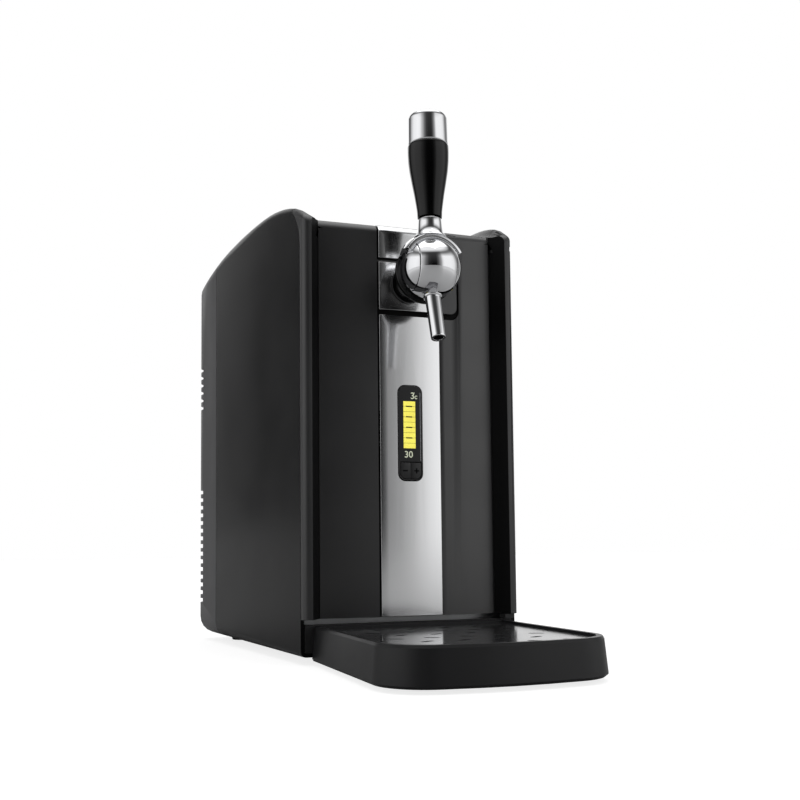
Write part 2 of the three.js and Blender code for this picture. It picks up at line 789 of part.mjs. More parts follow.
const underDoor = block(-everyX, everyX, frontY - overrun, rearY, -overrun, door.bottom);
const doorForm = outer.intersect(aheadOfSeam(-seam / 2)).subtract(underDoor);
const panelBackY = panelY + door.bow + door.panelWall;

// The panel's outer form: the bowed face, and the rounded lip that runs back over the top
const panelRoom = block(-panelHalf + fit, panelHalf - fit, frontY - overrun, rearY, door.bottom, everyZ);
const panelTop = doorTop + door.cornerTop;
const panelForm = doorForm
  .add(outer.intersect(block(-everyX, everyX, frontY, panelBackY, door.bottom, panelTop)))
  .intersect(panelRoom)
  .intersect(panelRound(0));
const panelWall = panelForm.subtract(panelRound(door.panelWall));

// A sheet of a given depth off the panel's face, between two sides and two heights
function stripSkin(depth, left, right, low, high) {
  return panelForm.subtract(panelRound(depth))
    .intersect(block(left, right, frontY - overrun, rearY, low, high))
    .subtract(block(-everyX, everyX, panelY + door.bow, rearY, -overrun, doorTop + fit));
}

const tapHole = rod('y', tap.tail + fit, frontY - overrun, mouthY, 0, tapZ);

// An upright outline with round corners, of the window's form
function windowOutline(grow, low, high) {
  const half = display.half + grow;
  const r = display.corner + grow;
  const quarter = (x, z, from) => arc(x, z, r, from, from + Math.PI / 2, smallSteps / 2);
  return [...quarter(half - r, high - r, 0), ...quarter(r - half, high - r, Math.PI / 2),
    ...quarter(r - half, low + r, Math.PI), ...quarter(half - r, low + r, Math.PI * 3 / 2)];
}

const channelBackY = panelY + strip.thick + fit;
const windowRoom = windowOutline(fit, displayLow - fit, displayHigh + fit);
const windowHole = acrossY(windowRoom, frontY - overrun, channelBackY);
const keyLow = displayLow + display.rim;

// Both keys' outline, grown by a margin, from the window's foot up to the keys' top
function keyForm(grow, y0, y1) {
  return acrossY(windowOutline(grow - display.rim, keyLow - grow, displayHigh), y0, y1)
    .intersect(block(-display.half, display.half, y0, y1, displayLow - overrun, buttonTop + grow));
}

const keyPocket = keyForm(button.flange + fit, channelBackY - fit, mouthY);

// The bay's outline: square at the strip's left edge, round at the right
function bayOutline(grow, low, high) {
  const right = bay.right + grow;
  const r = bay.corner + grow;
  return [[-strip.half - fit, low], ...arc(right - r, low + r, r, -Math.PI / 2, 0, smallSteps / 2),
    ...arc(right - r, high - r, r, 0, Math.PI / 2, smallSteps / 2), [-strip.half - fit, high]];
}

function frontPanel() {
  const half = strip.half + fit;
  const channel = stripSkin(strip.thick + fit, -half, half, door.bottom - overrun, everyZ);
  const bayBackY = panelDepth(bay.right) + strip.thick + fit;
  const bayChannel = acrossY(bayOutline(bay.sideGap, stripTop, capLow), frontY, bayBackY);
  return largest(panelWall.subtract(channel).subtract(bayChannel).subtract(tapHole).subtract(keyPocket));
}

piece('front_panel', frontPanel(), 'panel', doorGroup);

function stripPiece(low, high) {
  return stripSkin(strip.thick, -strip.half, strip.half, low, high)
    .translate([0, -strip.proud, strip.proud]);
}

function bayPlate() {
  return stripSkin(strip.thick, -strip.half, bay.right, bayLow, bayHigh)
    .translate([0, -strip.proud, 0])
    .intersect(acrossY(bayOutline(0, bayLow, bayHigh), frontY - overrun, rearY))
    .subtract(tapHole);
}

piece('bright_strip', stripPiece(door.bottom, stripTop).subtract(windowHole), 'mirror', doorGroup);
piece('tap_bay_plate', bayPlate(), 'mirror', doorGroup);
piece('strip_cap', stripPiece(capLow, everyZ), 'mirror', doorGroup);

// What the back of the door's right top corner would sweep through the casing as the door turns
function doorTopSwing() {
  const clear = seamCurve.map(([y, z]) => [y - seam / 2 - hingeY, z]);
  const startZ = seamCurve[0][1];
  const low = startZ - overrun;
  const turning = lathe([[0, low], [clear[0][0], low], ...clear, [0, everyZ]], roundSteps * 2)
    .translate([hingeX, hingeY, 0]);
  return block(hingeX, everyX, hingeY, rearY, startZ, everyZ).subtract(turning);
}

// The door's frame: solid cheeks, the lip's sides, and a thin sheet behind the panel that joins them
function doorFrame() {
  const mouth = panelHollow(panelHalf, mouthHalf, 0);
  const cheeks = doorForm.subtract(mouth)
    .subtract(block(-panelHalf, panelHalf, frontY - overrun, rearY, -overrun, everyZ));
  const s = door.mouthSkin;
  const under = block(-everyX, everyX, frontY + door.skin, rearY, doorTop, everyZ)
    .intersect(casingForm(door.skin, true))
    .subtract(panelHollow(panelHalf + s, mouthHalf + s, s));
  const barHalf = panelHalf + fit + door.skin;
  const low = block(-barHalf, barHalf, panelBackY + fit, coreBackY, door.bottom, door.bottom + door.bar);
  const high = block(-barHalf, barHalf, panelBackY + fit, coreBackY, doorTop - door.bar, doorTop);
  const wings = [-1, 1].map((side) => {
    const [x0, x1] = [side * (panelHalf + fit), side * coreHalf].sort((a, b) => a - b);
    return block(x0, x1, doorSeamY - 2 * seam, coreBackY, door.bottom, doorTop).subtract(mouth);
  });
  const edge = block(hingeX, everyX, frontY - overrun, rearY, -overrun, hingeTrimTop)
    .subtract(rod('z', hinge.edge, -overrun, hingeTrimTop, hingeX, hingeY, roundSteps));
  const pinHole = (z0, z1) => rod('z', hinge.pin + fit, z0, z1, hingeX, hingeY);
  const pinHoles = [pinHole(door.bottom - overrun, door.bottom + hinge.pinLength + fit),
    pinHole(doorTop - hinge.pinLength - fit, doorTop + overrun / 2)];
  const roomTop = doorTop + hinge.plate + 3 * fit;
  const eyeRoom = rod('z', hinge.eye + 2 * fit, doorTop, roomTop, hingeX, hingeY);
  const armRoom = block(hingeX - fit, everyX, hingeY - hinge.eye - fit, rearY, doorTop, roomTop);
  return joined([cheeks.subtract(under), low, high, ...wings])
    .subtract(joined([edge, eyeRoom, armRoom, doorTopSwing(), ...pinHoles]));
}

piece('door_frame', doorFrame(), 'cheek', doorGroup);

function doorCore() {
  const half = panelHalf - fit;
  const low = door.bottom + door.bar + fit;
  const high = doorTop - door.bar - fit;
  const front = panelHollow(half + fit, half + fit, door.panelWall + fit);
  const boardRoom = block(-strip.half, strip.half, frontY, coreBackY - door.skin,
    displayLow - display.half, displayHigh + display.half);
  return block(-half, half, frontY, coreBackY, low, high)
    .subtract(front)
    .subtract(boardRoom)
    .subtract(tapHole);
}

piece('door_foam', doorCore(), 'foam', doorGroup);

const nutPocket = rod('y', tap.nut + fit, frontY, mouthY, 0, tapZ, 6);
const linerLow = door.bottom + door.linerMargin;
const linerHigh = doorTop - door.linerMargin;
piece('door_liner', block(-linerHalf, linerHalf, linerFrontY, linerBackY, linerLow, linerHigh)
  .subtract(nutPocket), 'liner', doorGroup);

function sealRing() {
  const y0 = linerBackY + fit;
  const s = door.sealWidth;
  const half = linerHalf - s;
  return block(-linerHalf, linerHalf, y0, sealBackY, linerLow, linerHigh)
    .subtract(block(-half, half, y0 - overrun, sealBackY + overrun, linerLow + s, linerHigh - s));
}

piece('door_seal', sealRing(), 'rubber', doorGroup);

// Hinge brackets on the casing, each with the pin that the door turns on
function hingeBracket(low) {
  const z0 = low ? door.bottom - fit - hinge.plate : doorTop + fit;
  const pinFrom = low ? door.bottom - fit - hinge.plate : doorTop - hinge.pinLength;
  const pinTo = low ? door.bottom + hinge.pinLength : doorTop + fit + hinge.plate;
  const pin = rod('z', hinge.pin, pinFrom, pinTo, hingeX, hingeY);
  const a = hinge.eye;
  const lowBackY = doorSeamY + base.toeThick;
  const highBackY = mouthY + hinge.run;
  const points = low
    ? [[hingeX - hinge.lowArm, hingeY - a], [hingeX + a / 2, hingeY - a],
      [hingeX + a / 2, lowBackY], [hingeX - hinge.lowArm, lowBackY]]
    : [[hingeX + a, hingeY - a / 2], [hingeX + a / 2, hingeY + a], [hingeX - hinge.highArm, highBackY],
      [hingeX - hinge.highEnd, highBackY], [hingeX - a, hingeY - a / 2]];
  return slab(points, z0, z0 + hinge.plate).add(pin);
}

piece('hinge_lower', hingeBracket(true), 'steel');
piece('hinge_upper', hingeBracket(false), 'steel');

// Display, board and buttons
const windowFrontY = panelY - strip.proud - display.proud;
const windowBackY = channelBackY - fit;
piece('display_window', acrossY(windowOutline(0, displayLow, displayHigh), windowFrontY, windowBackY)
  .subtract(keyForm(fit, frontY - overrun, mouthY)), 'gloss', doorGroup);

function key(side) {
  const x0 = side < 0 ? -everyX : fit / 2;
  const x1 = side < 0 ? -fit / 2 : everyX;
  const backY = windowBackY + fit + button.flangeThick;
  return keyForm(0, windowFrontY, backY).add(keyForm(button.flange, windowBackY + fit, backY))
    .intersect(block(x0, x1, frontY - overrun, mouthY, -overrun, everyZ));
}

piece('minus_button', key(-1), 'gloss', doorGroup);
piece('plus_button', key(1), 'gloss', doorGroup);
const boardFrontY = panelDepth(strip.half) + door.panelWall + fit;
const boardBackY = boardFrontY + display.boardThick;
piece('display_board', block(-strip.half + fit, strip.half - fit, boardFrontY, boardBackY,
  displayLow - display.half + fit, displayHigh + display.half - fit), 'board', doorGroup);

// The tap
const ballCut = sphere(tap.ball + fit, roundSteps * 2).translate([0, tapY, tapZ]);

// The socket: a bell that opens towards the ball, on a round base, with a tail through the panel
function tapShank() {
  const baseY = panelY - strip.proud - fit;
  const rimY = tapY + tap.socketReach;
  const reach = baseY - rimY;
  const bellShares = [[0.3, 0], [0.55, 0.2], [0.75, 0.6], [0.85, 0.85], [0.92, 1], [1, 1]];
  const flare = tap.socket - tap.neck;
  const bell = bellShares.map(([along, out]) => [tap.neck + flare * out, along * reach]);
  const foot = [[0, 0], [tap.base, 0], [tap.base, tap.baseThick], [tap.neck, tap.baseThick]];
  const body = lathe([...foot, ...bell, [0, reach]], roundSteps * 2)
    .rotate([90, 0, 0])
    .translate([0, baseY, tapZ]);
  const tail = rod('y', tap.tail, baseY - fit, linerBackY - fit, 0, tapZ);
  const boreEnd = tapY + tap.ball + tap.stemLength + tap.stemTravel;
  const bore = rod('y', tap.stem + fit, tapY, boreEnd, 0, tapZ);
  return body.add(tail).subtract(ballCut).subtract(bore);
}

piece('tap_shank', tapShank(), 'gloss', doorGroup);
piece('tap_nut', rod('y', tap.nut, coreBackY + fit, linerBackY, 0, tapZ, 6)
  .subtract(rod('y', tap.tail + fit, frontY, mouthY, 0, tapZ)), 'steel', doorGroup);

const ballGroup = new THREE.Group();
ballGroup.position.set(0, tapY, tapZ);
doorGroup.add(ballGroup);
const ballForm = sphere(tap.ball);

function tapDrum() {
  const pinHole = rod('x', tap.pin + fit, -tap.ball, tap.ball, 0, 0);
  const middle = block(-tap.drumHalf, tap.drumHalf, -tap.ball, tap.ball, -tap.ball, tap.ball);
  return ballForm.intersect(middle).subtract(pinHole);
}

piece('tap_ball', tapDrum(), 'chrome', ballGroup);

function spoutTube() {
  const { start, length, collarHeight } = spout;
  const end = -start - length;
  const collarTop = -start - collarHeight;
  const collarLow = collarTop - collarHeight;
  const tube = lathe([[0, end], [spout.mouth, end], [spout.top, collarLow], [spout.collar, collarLow],
    [spout.collar, collarTop], [spout.top, collarTop], [spout.top, 0], [0, 0]]);
  return tube.subtract(rod('z', spout.bore, end - overrun, collarTop, 0, 0))
    .rotate([-spout.lean * 180 / Math.PI, 0, 0])
    .translate([0, spout.back, 0])
    .subtract(sphere(tap.ball + fit, roundSteps * 2));
}

piece('spout', spoutTube(), 'chrome', ballGroup);

const stem = rod('y', tap.stem, tap.ball + 2 * fit, tap.ball + tap.stemLength, 0, 0);
piece('valve_stem', stem, 'steel', ballGroup);

const lever = new THREE.Group();
lever.rotation.x = -tap.lean;
ballGroup.add(lever);

const pinReach = tap.ball - tap.pinInset;

function tapYoke() {
  const inner = block(-tap.drumHalf - fit, tap.drumHalf + fit, -everyX, everyX, -everyX, everyX);
  const caps = ballForm.subtract(inner);
  const saddle = block(-tap.saddleReach, tap.saddleReach, -tap.saddleHalf, tap.saddleHalf, tap.saddleLow, everyX);
  const band = sphere(tap.ball + fit * 2 + tap.saddleThick).intersect(saddle);
  const clear = sphere(tap.ball + 2 * fit).intersect(inner);
  const neck = rod('z', tap.ferruleLow, tap.ball, tap.gripBase - fit, 0, 0, roundSteps, tap.ferruleHigh);
  return joined([caps, band, neck])
    .subtract(clear)
    .subtract(rod('x', tap.pin + fit, -pinReach, pinReach, 0, 0));
}

piece('tap_yoke', tapYoke(), 'chrome', lever);

// The grip widens upwards from its waist to its shoulder in an even curve
function tapGrip() {
  const waist = tap.gripBase + tap.gripWaist;
  const shoulder = tap.capBase - tap.gripShoulder;
  const curve = Array.from({ length: smallSteps + 1 }, (_, i) => {
    const t = i / smallSteps;
    const out = (1 - Math.cos(Math.PI * t)) / 2;
    return [tap.gripLow + (tap.gripHigh - tap.gripLow) * out, waist + (shoulder - waist) * t];
  });
  const top = tap.capBase - fit;
  return lathe([[0, tap.gripBase], [tap.gripLow, tap.gripBase], ...curve, [tap.gripHigh, top], [0, top]]);
}

piece('tap_grip', tapGrip(), 'gloss', lever);

// The cap's top edge, leaning with the lever, reaches the overall height
function tapCap() {
  const flat = tap.cap - tap.capRound;
  const top = (overallHeight - tapZ - flat * Math.sin(tap.lean)) / Math.cos(tap.lean);
  const round = arc(flat, top - tap.capRound, tap.capRound, 0, Math.PI / 2, 4);
  return lathe([[0, tap.capBase], [tap.cap, tap.capBase], ...round, [0, top]]);
}

piece('tap_cap', tapCap(), 'chrome', lever);
piece('tap_pin', rod('x', tap.pin, -pinReach + fit, pinReach - fit, 0, 0), 'steel', lever);

// The drip tray: a tub whose sides spread to the bottom, with a loose plate on a ledge
const trayGroup = new THREE.Group();
root.add(trayGroup);

function trayOutline(grow, backY) {
  const half = trayHalf + grow;
  const front = -overallDepth / 2 + tray.spread - grow;
  const r = tray.corner + grow / 2;
  const run = half - r;
  const left = arc(-run, front + tray.bow + r, r, Math.PI, Math.PI * 3 / 2 - tray.bow / run, smallSteps);
  const bowed = [-1, 0, 1].map((n) => {
    const x = n * run / 2;
    return [x, front + tray.bow * (x / run) ** 2];
  });
  return [[-half, backY], ...left, ...bowed, ...left.map(([x, y]) => [-x, y]).reverse(), [half, backY]];
}

function trayRing(grow, z, backY) {
  return trayOutline(grow, backY).map(([x, y]) => [x, y, z]);
}

const plateTop = trayTop - tray.plateDrop;
const plateLow = plateTop - tray.plateThick;
const rebateBackY = frontY - fit;

function dripTray() {
  const levels = [[tray.spread - tray.rim, tray.bottom], [tray.spread, tray.bottom + tray.rim],
    [tray.rim / 2, trayTop - tray.rim], [0, trayTop]];
  const tub = loft(levels.map(([grow, z]) => trayRing(grow, z, trayBackY)));
  const insideOutline = trayOutline(-tray.wall - tray.ledge, rebateBackY - tray.ledge);
  const inside = slab(insideOutline, tray.bottom + tray.floor, everyZ);
  const rebate = slab(trayOutline(-tray.wall, rebateBackY), plateLow - fit, everyZ);
  const tongues = [-1, 1].map((side) => {
    const x = side * tongueX;
    return block(x - tray.tongueHalf, x + tray.tongueHalf, trayBackY - tray.rim,
      doorSeamY + tray.tongueLength, tray.tongueLow, tray.tongueLow + tray.tongueThick);
  });
  return joined([tub.subtract(inside).subtract(rebate), ...tongues]);
}

piece('drip_tray', dripTray(), 'tray', trayGroup);

function slotCut(x, y, turn) {
  const half = slot.width / 2;
  const reach = slot.length / 2 - half;
  const outline = [...arc(reach, 0, half, -Math.PI / 2, Math.PI / 2, 3),
    ...arc(-reach, 0, half, Math.PI / 2, Math.PI * 3 / 2, 3)];
  return slab(outline, plateLow - overrun, plateTop + overrun)
    .rotate([0, 0, turn * 180 / Math.PI])
    .translate([x, y, 0]);
}

function trayPlate() {
  const plate = slab(trayOutline(-tray.wall - fit, rebateBackY - fit), plateLow, plateTop);
  const middleY = (rebateBackY - overallDepth / 2) / 2;
  const cuts = [];
  for (let row = 0; row < slot.rows; row++) {
    const odd = row % 2;
    for (let column = 0; column < slot.columns - odd; column++) {
      const x = (column - (slot.columns - 1 - odd) / 2) * slot.columnPitch;
      const y = middleY + (row - (slot.rows - 1) / 2) * slot.rowPitch;
      cuts.push(slotCut(x, y, odd ? slot.turn : -slot.turn));
    }
  }
  return plate.subtract(joined(cuts));
}

piece('tray_plate', trayPlate(), 'plate', trayGroup);

export default root;
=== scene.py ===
"""Mini keg beer dispenser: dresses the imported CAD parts, sets the stage and the camera."""

import json
import math

import bmesh
import bpy
from bpy.props import FloatProperty, FloatVectorProperty, IntProperty, PointerProperty
from bpy.types import Operator, Panel, PropertyGroup
from mathutils import Matrix, Vector


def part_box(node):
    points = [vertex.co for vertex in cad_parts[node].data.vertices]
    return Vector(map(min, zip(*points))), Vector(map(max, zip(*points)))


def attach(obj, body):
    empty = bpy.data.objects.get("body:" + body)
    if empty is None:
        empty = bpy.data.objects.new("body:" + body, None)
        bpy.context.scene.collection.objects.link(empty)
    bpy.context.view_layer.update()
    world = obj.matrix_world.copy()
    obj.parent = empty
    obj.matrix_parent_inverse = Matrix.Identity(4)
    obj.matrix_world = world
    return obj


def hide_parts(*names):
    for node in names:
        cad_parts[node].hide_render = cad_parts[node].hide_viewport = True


bl_info = {
    "name": "Mini Keg Dispenser",
    "version": (1, 0, 0),
    "blender": (4, 5, 0),
    "location": "View3D > Sidebar > Dispenser",
    "description": "Dresses a mini keg beer dispenser over its CAD parts",
    "category": "Object",
}

MM = 0.001
# The channel round the bright pieces: the groove at the strip's left, and how far the painted shade in it
# reaches
GROOVE = 1.3 * MM
CHANNEL_SPREAD = 2.5 * MM
CHANNEL_TOP = 4 * MM
CHANNEL_DEPTHS = (0.5 * MM, 3.2 * MM)
PANEL_BOW = 6 * MM
# The display's marks: the bar's place, its cells and ticks, and the thin painted highlight on the bevel
BAR_DROP = 13.2 * MM
BAR_MIDDLE = -1.0 * MM
CELL_GAP = 0.28 * MM
MARK_THICK = 0.12 * MM
MARK_SINK = 0.02 * MM
TICK_SHIFT = 0.3 * MM
TICK_HEIGHT = 1.0 * MM
TICK_SHARE = 0.52
BEVEL_HIGHLIGHT_INSET = 2.2 * MM
BEVEL_HIGHLIGHT_WIDTH = 0.4 * MM
BEVEL_HIGHLIGHT_FOOT = 0.8 * MM
BEVEL_HIGHLIGHT_TOP = 6 * MM
# Height of a digit as a share of the text's size
CHARACTER_SHARE = 0.73
DIGITS_ABOVE = 2.0 * MM
DIGITS_BELOW = 1.9 * MM
# The signs on the keys: how far below the key's top, how long and how thick
SIGN_DROP = 7.6 * MM
SIGN_REACH = 2.1 * MM
SIGN_HALF = 0.5 * MM
# Rear screws in millimetres: shank, the head's depth, shoulder and crown, and the cross in it
SCREW_SHANK = 1.8
SCREW_HEAD = 2.4
SCREW_SHOULDER = 0.9
SCREW_CROWN = 0.2
SCREW_CROWN_SHARE = 0.8
CROSS_REACH = 2.6
CROSS_HALF = 0.45
CROSS_DEPTH = 1.2
CROSS_OVERRUN = 2
# The tap in millimetres. A pair is (radius, rise), (share of the length, radius or inset) or (inset, drop).
DRUM_HALF = 15
CAP_GAP = 0.3
SADDLE_GAP = 0.6
SADDLE_THICK = 3
SADDLE_HALF = 10
SADDLE_CROWN = 0.35
SADDLE_REACH = math.radians(62)
NECK_GAP = 0.8
NECK_FOOT = ((13.5, 0), (12.0, 1.8), (10.9, 3.6), (10.2, 5.6), (9.7, 8), (9.4, 11))
NECK_TOP = ((9.3, 1.2), (8.9, 0.4), (8.2, 0))
GRIP_BASE = 41
GRIP_SHARES = (
    (0.0, 9.55), (0.02, 9.75), (0.07, 9.85), (0.15, 10.4), (0.31, 11.8), (0.47, 13.5), (0.63, 15.1),
    (0.76, 15.95), (0.88, 16.25), (0.975, 16.3), (0.99, 16.1), (1, 15.6),
)
CAP_SEAM = 0.3
CAP_CLEARANCE = 0.15
CAP_FOOT_INSETS = ((0.5, 0), (0.1, 0.4), (0, 1.2))
CAP_CROWN_INSETS = ((0, 4.6), (0.25, 3), (0.9, 1.7), (2, 0.8), (3.4, 0.3), (5, 0.1))
SOCKET_GAP = 0.3
SOCKET_NECK = 13.5
SOCKET_FLANGE = ((15.2, 0), (15.5, 0.4), (15.5, 2.6), (15.2, 3))
BELL_SHARES = ((0.3, 0), (0.42, 0.07), (0.55, 0.22), (0.66, 0.42), (0.75, 0.62), (0.82, 0.78), (0.86, 0.87))
BELL_RING_SHARES = ((0.88, 0.5), (0.89, 0.9), (0.905, 0.9), (0.915, 0))
BELL_RIM_INSETS = ((0, 0.6), (0.5, 0), (3.4, 0), (4.4, 1.2), (8, 4.6))
BELL_FLOOR = 6.4
SPOUT_LEAN = 0.3
SPOUT_MOUTH = 5.8
SPOUT_BORE = 3.8
SPOUT_LENGTH = 41.5
SPOUT_COLLAR = 7.4
SPOUT_COLLAR_DROP = 3
SPOUT_ROOT = 5
# The heat sink's fins
FINS = 11
FIN_THICK = 1.8 * MM
FIN_ROOT = 5 * MM
# How bright the floor shines to the camera; how bright the painted light of the studio's boxes on it shines
# to mirrors; and how far from the object that painted light fades in, a painted shade round the object
FLOOR_GLOW = 0.8
FLOOR_PAINTED_LIGHT = 0.4
FLOOR_PAINTED_SHADE_FADE = (0.25, 2.2)
# The studio's brightness by bearing in degrees, from straight behind the object round to its right
STUDIO_BEARINGS = (
    (-180, 0.0), (-163, 0.0), (-151, 0.02), (-140, 0.15), (-132, 0.4), (-124, 0.6), (-114, 1.0), (-100, 1.1),
    (-70, 1.0), (-52, 0.6), (-37, 0.08), (-25, 0.01), (-20, 0.3), (-14, 1.0), (45, 1.0), (60, 0.3),
    (80, 0.16), (93, 0.6), (103, 0.95), (120, 1.05), (148, 1.05), (154, 0.9), (161, 0.36), (172, 0.07),
    (180, 0.0),
)
# How far up that brightness reaches, and the box overhead, by height in degrees
STUDIO_HEIGHTS = ((0, 1.0), (32, 1.0), (44, 0.15), (90, 0.0))
OVERHEAD_HEIGHTS = ((0, 0.0), (48, 0.05), (60, 1.0), (90, 1.0))
LAMP_PLACE = (0.1, 0.1, 1.7)
LAMP_AIM = (0, 0, 0.2)
LAMP_SIZE = 1.3
LAMP_POWER = 5
FLOOR_HALF = 12
FLOOR_THICK = 0.01

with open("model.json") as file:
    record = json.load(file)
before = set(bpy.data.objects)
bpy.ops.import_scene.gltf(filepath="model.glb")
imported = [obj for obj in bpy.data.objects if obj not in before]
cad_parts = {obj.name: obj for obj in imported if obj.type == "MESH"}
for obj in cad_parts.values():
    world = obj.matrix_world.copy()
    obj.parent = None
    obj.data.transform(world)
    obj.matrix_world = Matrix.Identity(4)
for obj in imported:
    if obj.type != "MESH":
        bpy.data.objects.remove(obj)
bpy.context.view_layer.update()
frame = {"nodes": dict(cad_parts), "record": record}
NODES = frame["nodes"]


def node_middle(node):
    low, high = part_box(node)
    return (low + high) / 2


PANEL_LOW, PANEL_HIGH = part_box("front_panel")
STRIP_LOW, STRIP_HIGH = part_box("bright_strip")
WINDOW_LOW, WINDOW_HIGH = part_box("display_window")
KEYS_LOW, KEYS_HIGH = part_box("minus_button")
BALL_MIDDLE = node_middle("tap_ball")
BALL_RADIUS = (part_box("tap_ball")[1].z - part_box("tap_ball")[0].z) / 2
TRAY_LOW, TRAY_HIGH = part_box("drip_tray")


# Settings


def colour_setting(label, description, default):
    return FloatVectorProperty(name=label, description=description, subtype="COLOR", default=default)


def length_setting(label, description, default):
    return FloatProperty(name=label, description=description, default=default, unit="LENGTH")


def share_setting(label, description, default):
    return FloatProperty(name=label, description=description, default=default, min=0, max=1)


def angle_setting(label, description, default):
    return FloatProperty(name=label, description=description, subtype="ANGLE", default=default)


class CaseSettings(PropertyGroup):
    colour: colour_setting("Case colour", "Colour of the satin side shells", (0.005, 0.005, 0.0054))
    rear_colour: colour_setting("Rear colour", "Colour of the rear cover", (0.06, 0.06, 0.063))
    roughness: share_setting("Roughness", "Roughness of the satin plastic", 0.24)
    edge: length_setting("Edge radius", "Rounding of the shell edges", 0.8 * MM)


class DoorSettings(PropertyGroup):
    colour: colour_setting("Panel colour", "Colour of the bowed front panel", (0.019, 0.019, 0.02))
    cheek_colour: colour_setting("Cheek colour", "Colour of the door's cheeks", (0.026, 0.026, 0.027))
    edge: length_setting("Edge radius", "Rounding of the door's edges", 0.9 * MM)
    strip_roughness: share_setting("Strip roughness", "Roughness of the bright strip", 0.13)


class DisplaySettings(PropertyGroup):
    lit_colour: colour_setting("Bar colour", "Colour of the lit level bar", (0.95, 0.83, 0.12))
    digit_colour: colour_setting("Digit colour", "Colour of the lit digits", (0.62, 0.66, 0.5))
    cells: IntProperty(name="Cells", description="Number of cells in the level bar", default=9, min=1, max=20)
    bar_width: length_setting("Bar width", "Width of the level bar", 10.4 * MM)
    bar_height: length_setting("Bar height", "Height of the level bar", 39.2 * MM)
    digit_height: length_setting("Digit height", "Height of the digits", 5.6 * MM)


class TapSettings(PropertyGroup):
    steps: IntProperty(name="Steps", description="Steps round each turned piece", default=96, min=24, max=192)
    lean: angle_setting("Lean", "How far the lever leans back at rest", 0.03)
    chrome_roughness: share_setting("Chrome roughness", "Roughness of the chrome", 0.045)


class TraySettings(PropertyGroup):
    colour: colour_setting("Tray colour", "Colour of the drip tray", (0.014, 0.014, 0.015))
    plate_colour: colour_setting("Plate colour", "Colour of the glossy plate", (0.1, 0.1, 0.105))
    edge: length_setting("Edge radius", "Rounding of the tray's rim", 1.1 * MM)


class StageSettings(PropertyGroup):
    lens: FloatProperty(name="Lens", description="Focal length of the camera", default=45, min=10, max=200)
    yaw: angle_setting("Yaw", "How far the camera turns to the right", math.radians(19.43))
    pitch: angle_setting("Pitch", "How far the camera looks up", math.radians(4))
    roll: angle_setting("Roll", "How far the camera tilts", math.radians(-0.6))
    camera: FloatVectorProperty(
        name="Camera place",
        description="Where the camera stands",
        subtype="TRANSLATION",
        default=(-0.2812, -0.8239, 0.0897),
    )
    shift: FloatProperty(name="Shift", description="Upward shift of the lens", default=0.1)


# Shader groups


def socket(tree, in_out, label, kind):
    """A new named socket of a tree, in or out."""
    return tree.interface.new_socket(label, in_out=in_out, socket_type="NodeSocket" + kind)


def joiner(tree):
    """A function that links one node's output to another's input, both by name or number."""

    def join(source, output, target, entry):
        tree.links.new(source.outputs[output], target.inputs[entry])

    return join


def calc(tree, operation, *values):
    """The result of a sum on sockets and numbers."""
    node = tree.nodes.new("ShaderNodeMath")
    node.operation = operation
    for entry, value in zip(node.inputs, values):
        if isinstance(value, (int, float)):
            entry.default_value = value
        else:
            tree.links.new(value, entry)
    return node.outputs[0]


def shader_group(name, inputs, outputs):
    """A new shader group with float or colour sockets; returns it with its ends."""
    group = bpy.data.node_groups.new(name, "ShaderNodeTree")
    for label, (kind, value) in inputs.items():
        socket(group, "INPUT", label, kind).default_value = value
    for label, kind in outputs.items():
        socket(group, "OUTPUT", label, kind)
    return group, group.nodes.new("NodeGroupInput"), group.nodes.new("NodeGroupOutput")


def moulded_grain():
    """Fine grain and slow drift in roughness, as on moulded plastic."""
    if "Moulded grain" in bpy.data.node_groups:
        return bpy.data.node_groups["Moulded grain"]
    group, start, end = shader_group(
        "Moulded grain",
        {
            "Scale": ("Float", 1800),
            "Roughness": ("Float", 0.45),
            "Spread": ("Float", 0.05),
        },
        {"Roughness": "Float", "Height": "Float"},
    )
    add, join = group.nodes.new, joiner(group)
    place = add("ShaderNodeTexCoord")
    fine = add("ShaderNodeTexNoise")
    fine.inputs["Detail"].default_value = 3
    slow = add("ShaderNodeTexNoise")
    slow.inputs["Scale"].default_value = 16
    slow.inputs["Detail"].default_value = 4
    middle, reach = start.outputs["Roughness"], start.outputs["Spread"]
    spread = add("ShaderNodeMapRange")
    spread.inputs["From Min"].default_value = 0.3
    spread.inputs["From Max"].default_value = 0.7
    join(place, "Object", fine, "Vector")
    join(start, "Scale", fine, "Scale")
    join(place, "Object", slow, "Vector")
    join(slow, "Fac", spread, "Value")
    group.links.new(calc(group, "SUBTRACT", middle, reach), spread.inputs["To Min"])
    group.links.new(calc(group, "ADD", middle, reach), spread.inputs["To Max"])
    join(spread, "Result", end, "Roughness")
    join(fine, "Fac", end, "Height")
    return group


def tint_drift():
    """A slow drift between two tints over the surface."""
    if "Tint drift" in bpy.data.node_groups:
        return bpy.data.node_groups["Tint drift"]
    group, start, end = shader_group(
        "Tint drift",
        {
            "Dark": ("Color", (0, 0, 0, 1)),
            "Light": ("Color", (1, 1, 1, 1)),
            "Scale": ("Float", 9),
        },
        {"Color": "Color"},
    )
    add, join = group.nodes.new, joiner(group)
    place = add("ShaderNodeTexCoord")
    noise = add("ShaderNodeTexNoise")
    noise.inputs["Detail"].default_value = 5
    ramp = add("ShaderNodeMapRange")
    ramp.inputs["From Min"].default_value = 0.3
    ramp.inputs["From Max"].default_value = 0.7
    mix = add("ShaderNodeMix")
    mix.data_type = "RGBA"
    join(place, "Object", noise, "Vector")
    join(start, "Scale", noise, "Scale")
    join(noise, "Fac", ramp, "Value")
    join(ramp, "Result", mix, "Factor")
    join(start, "Dark", mix, "A")
    join(start, "Light", mix, "B")
    join(mix, "Result", end, "Color")
    return group


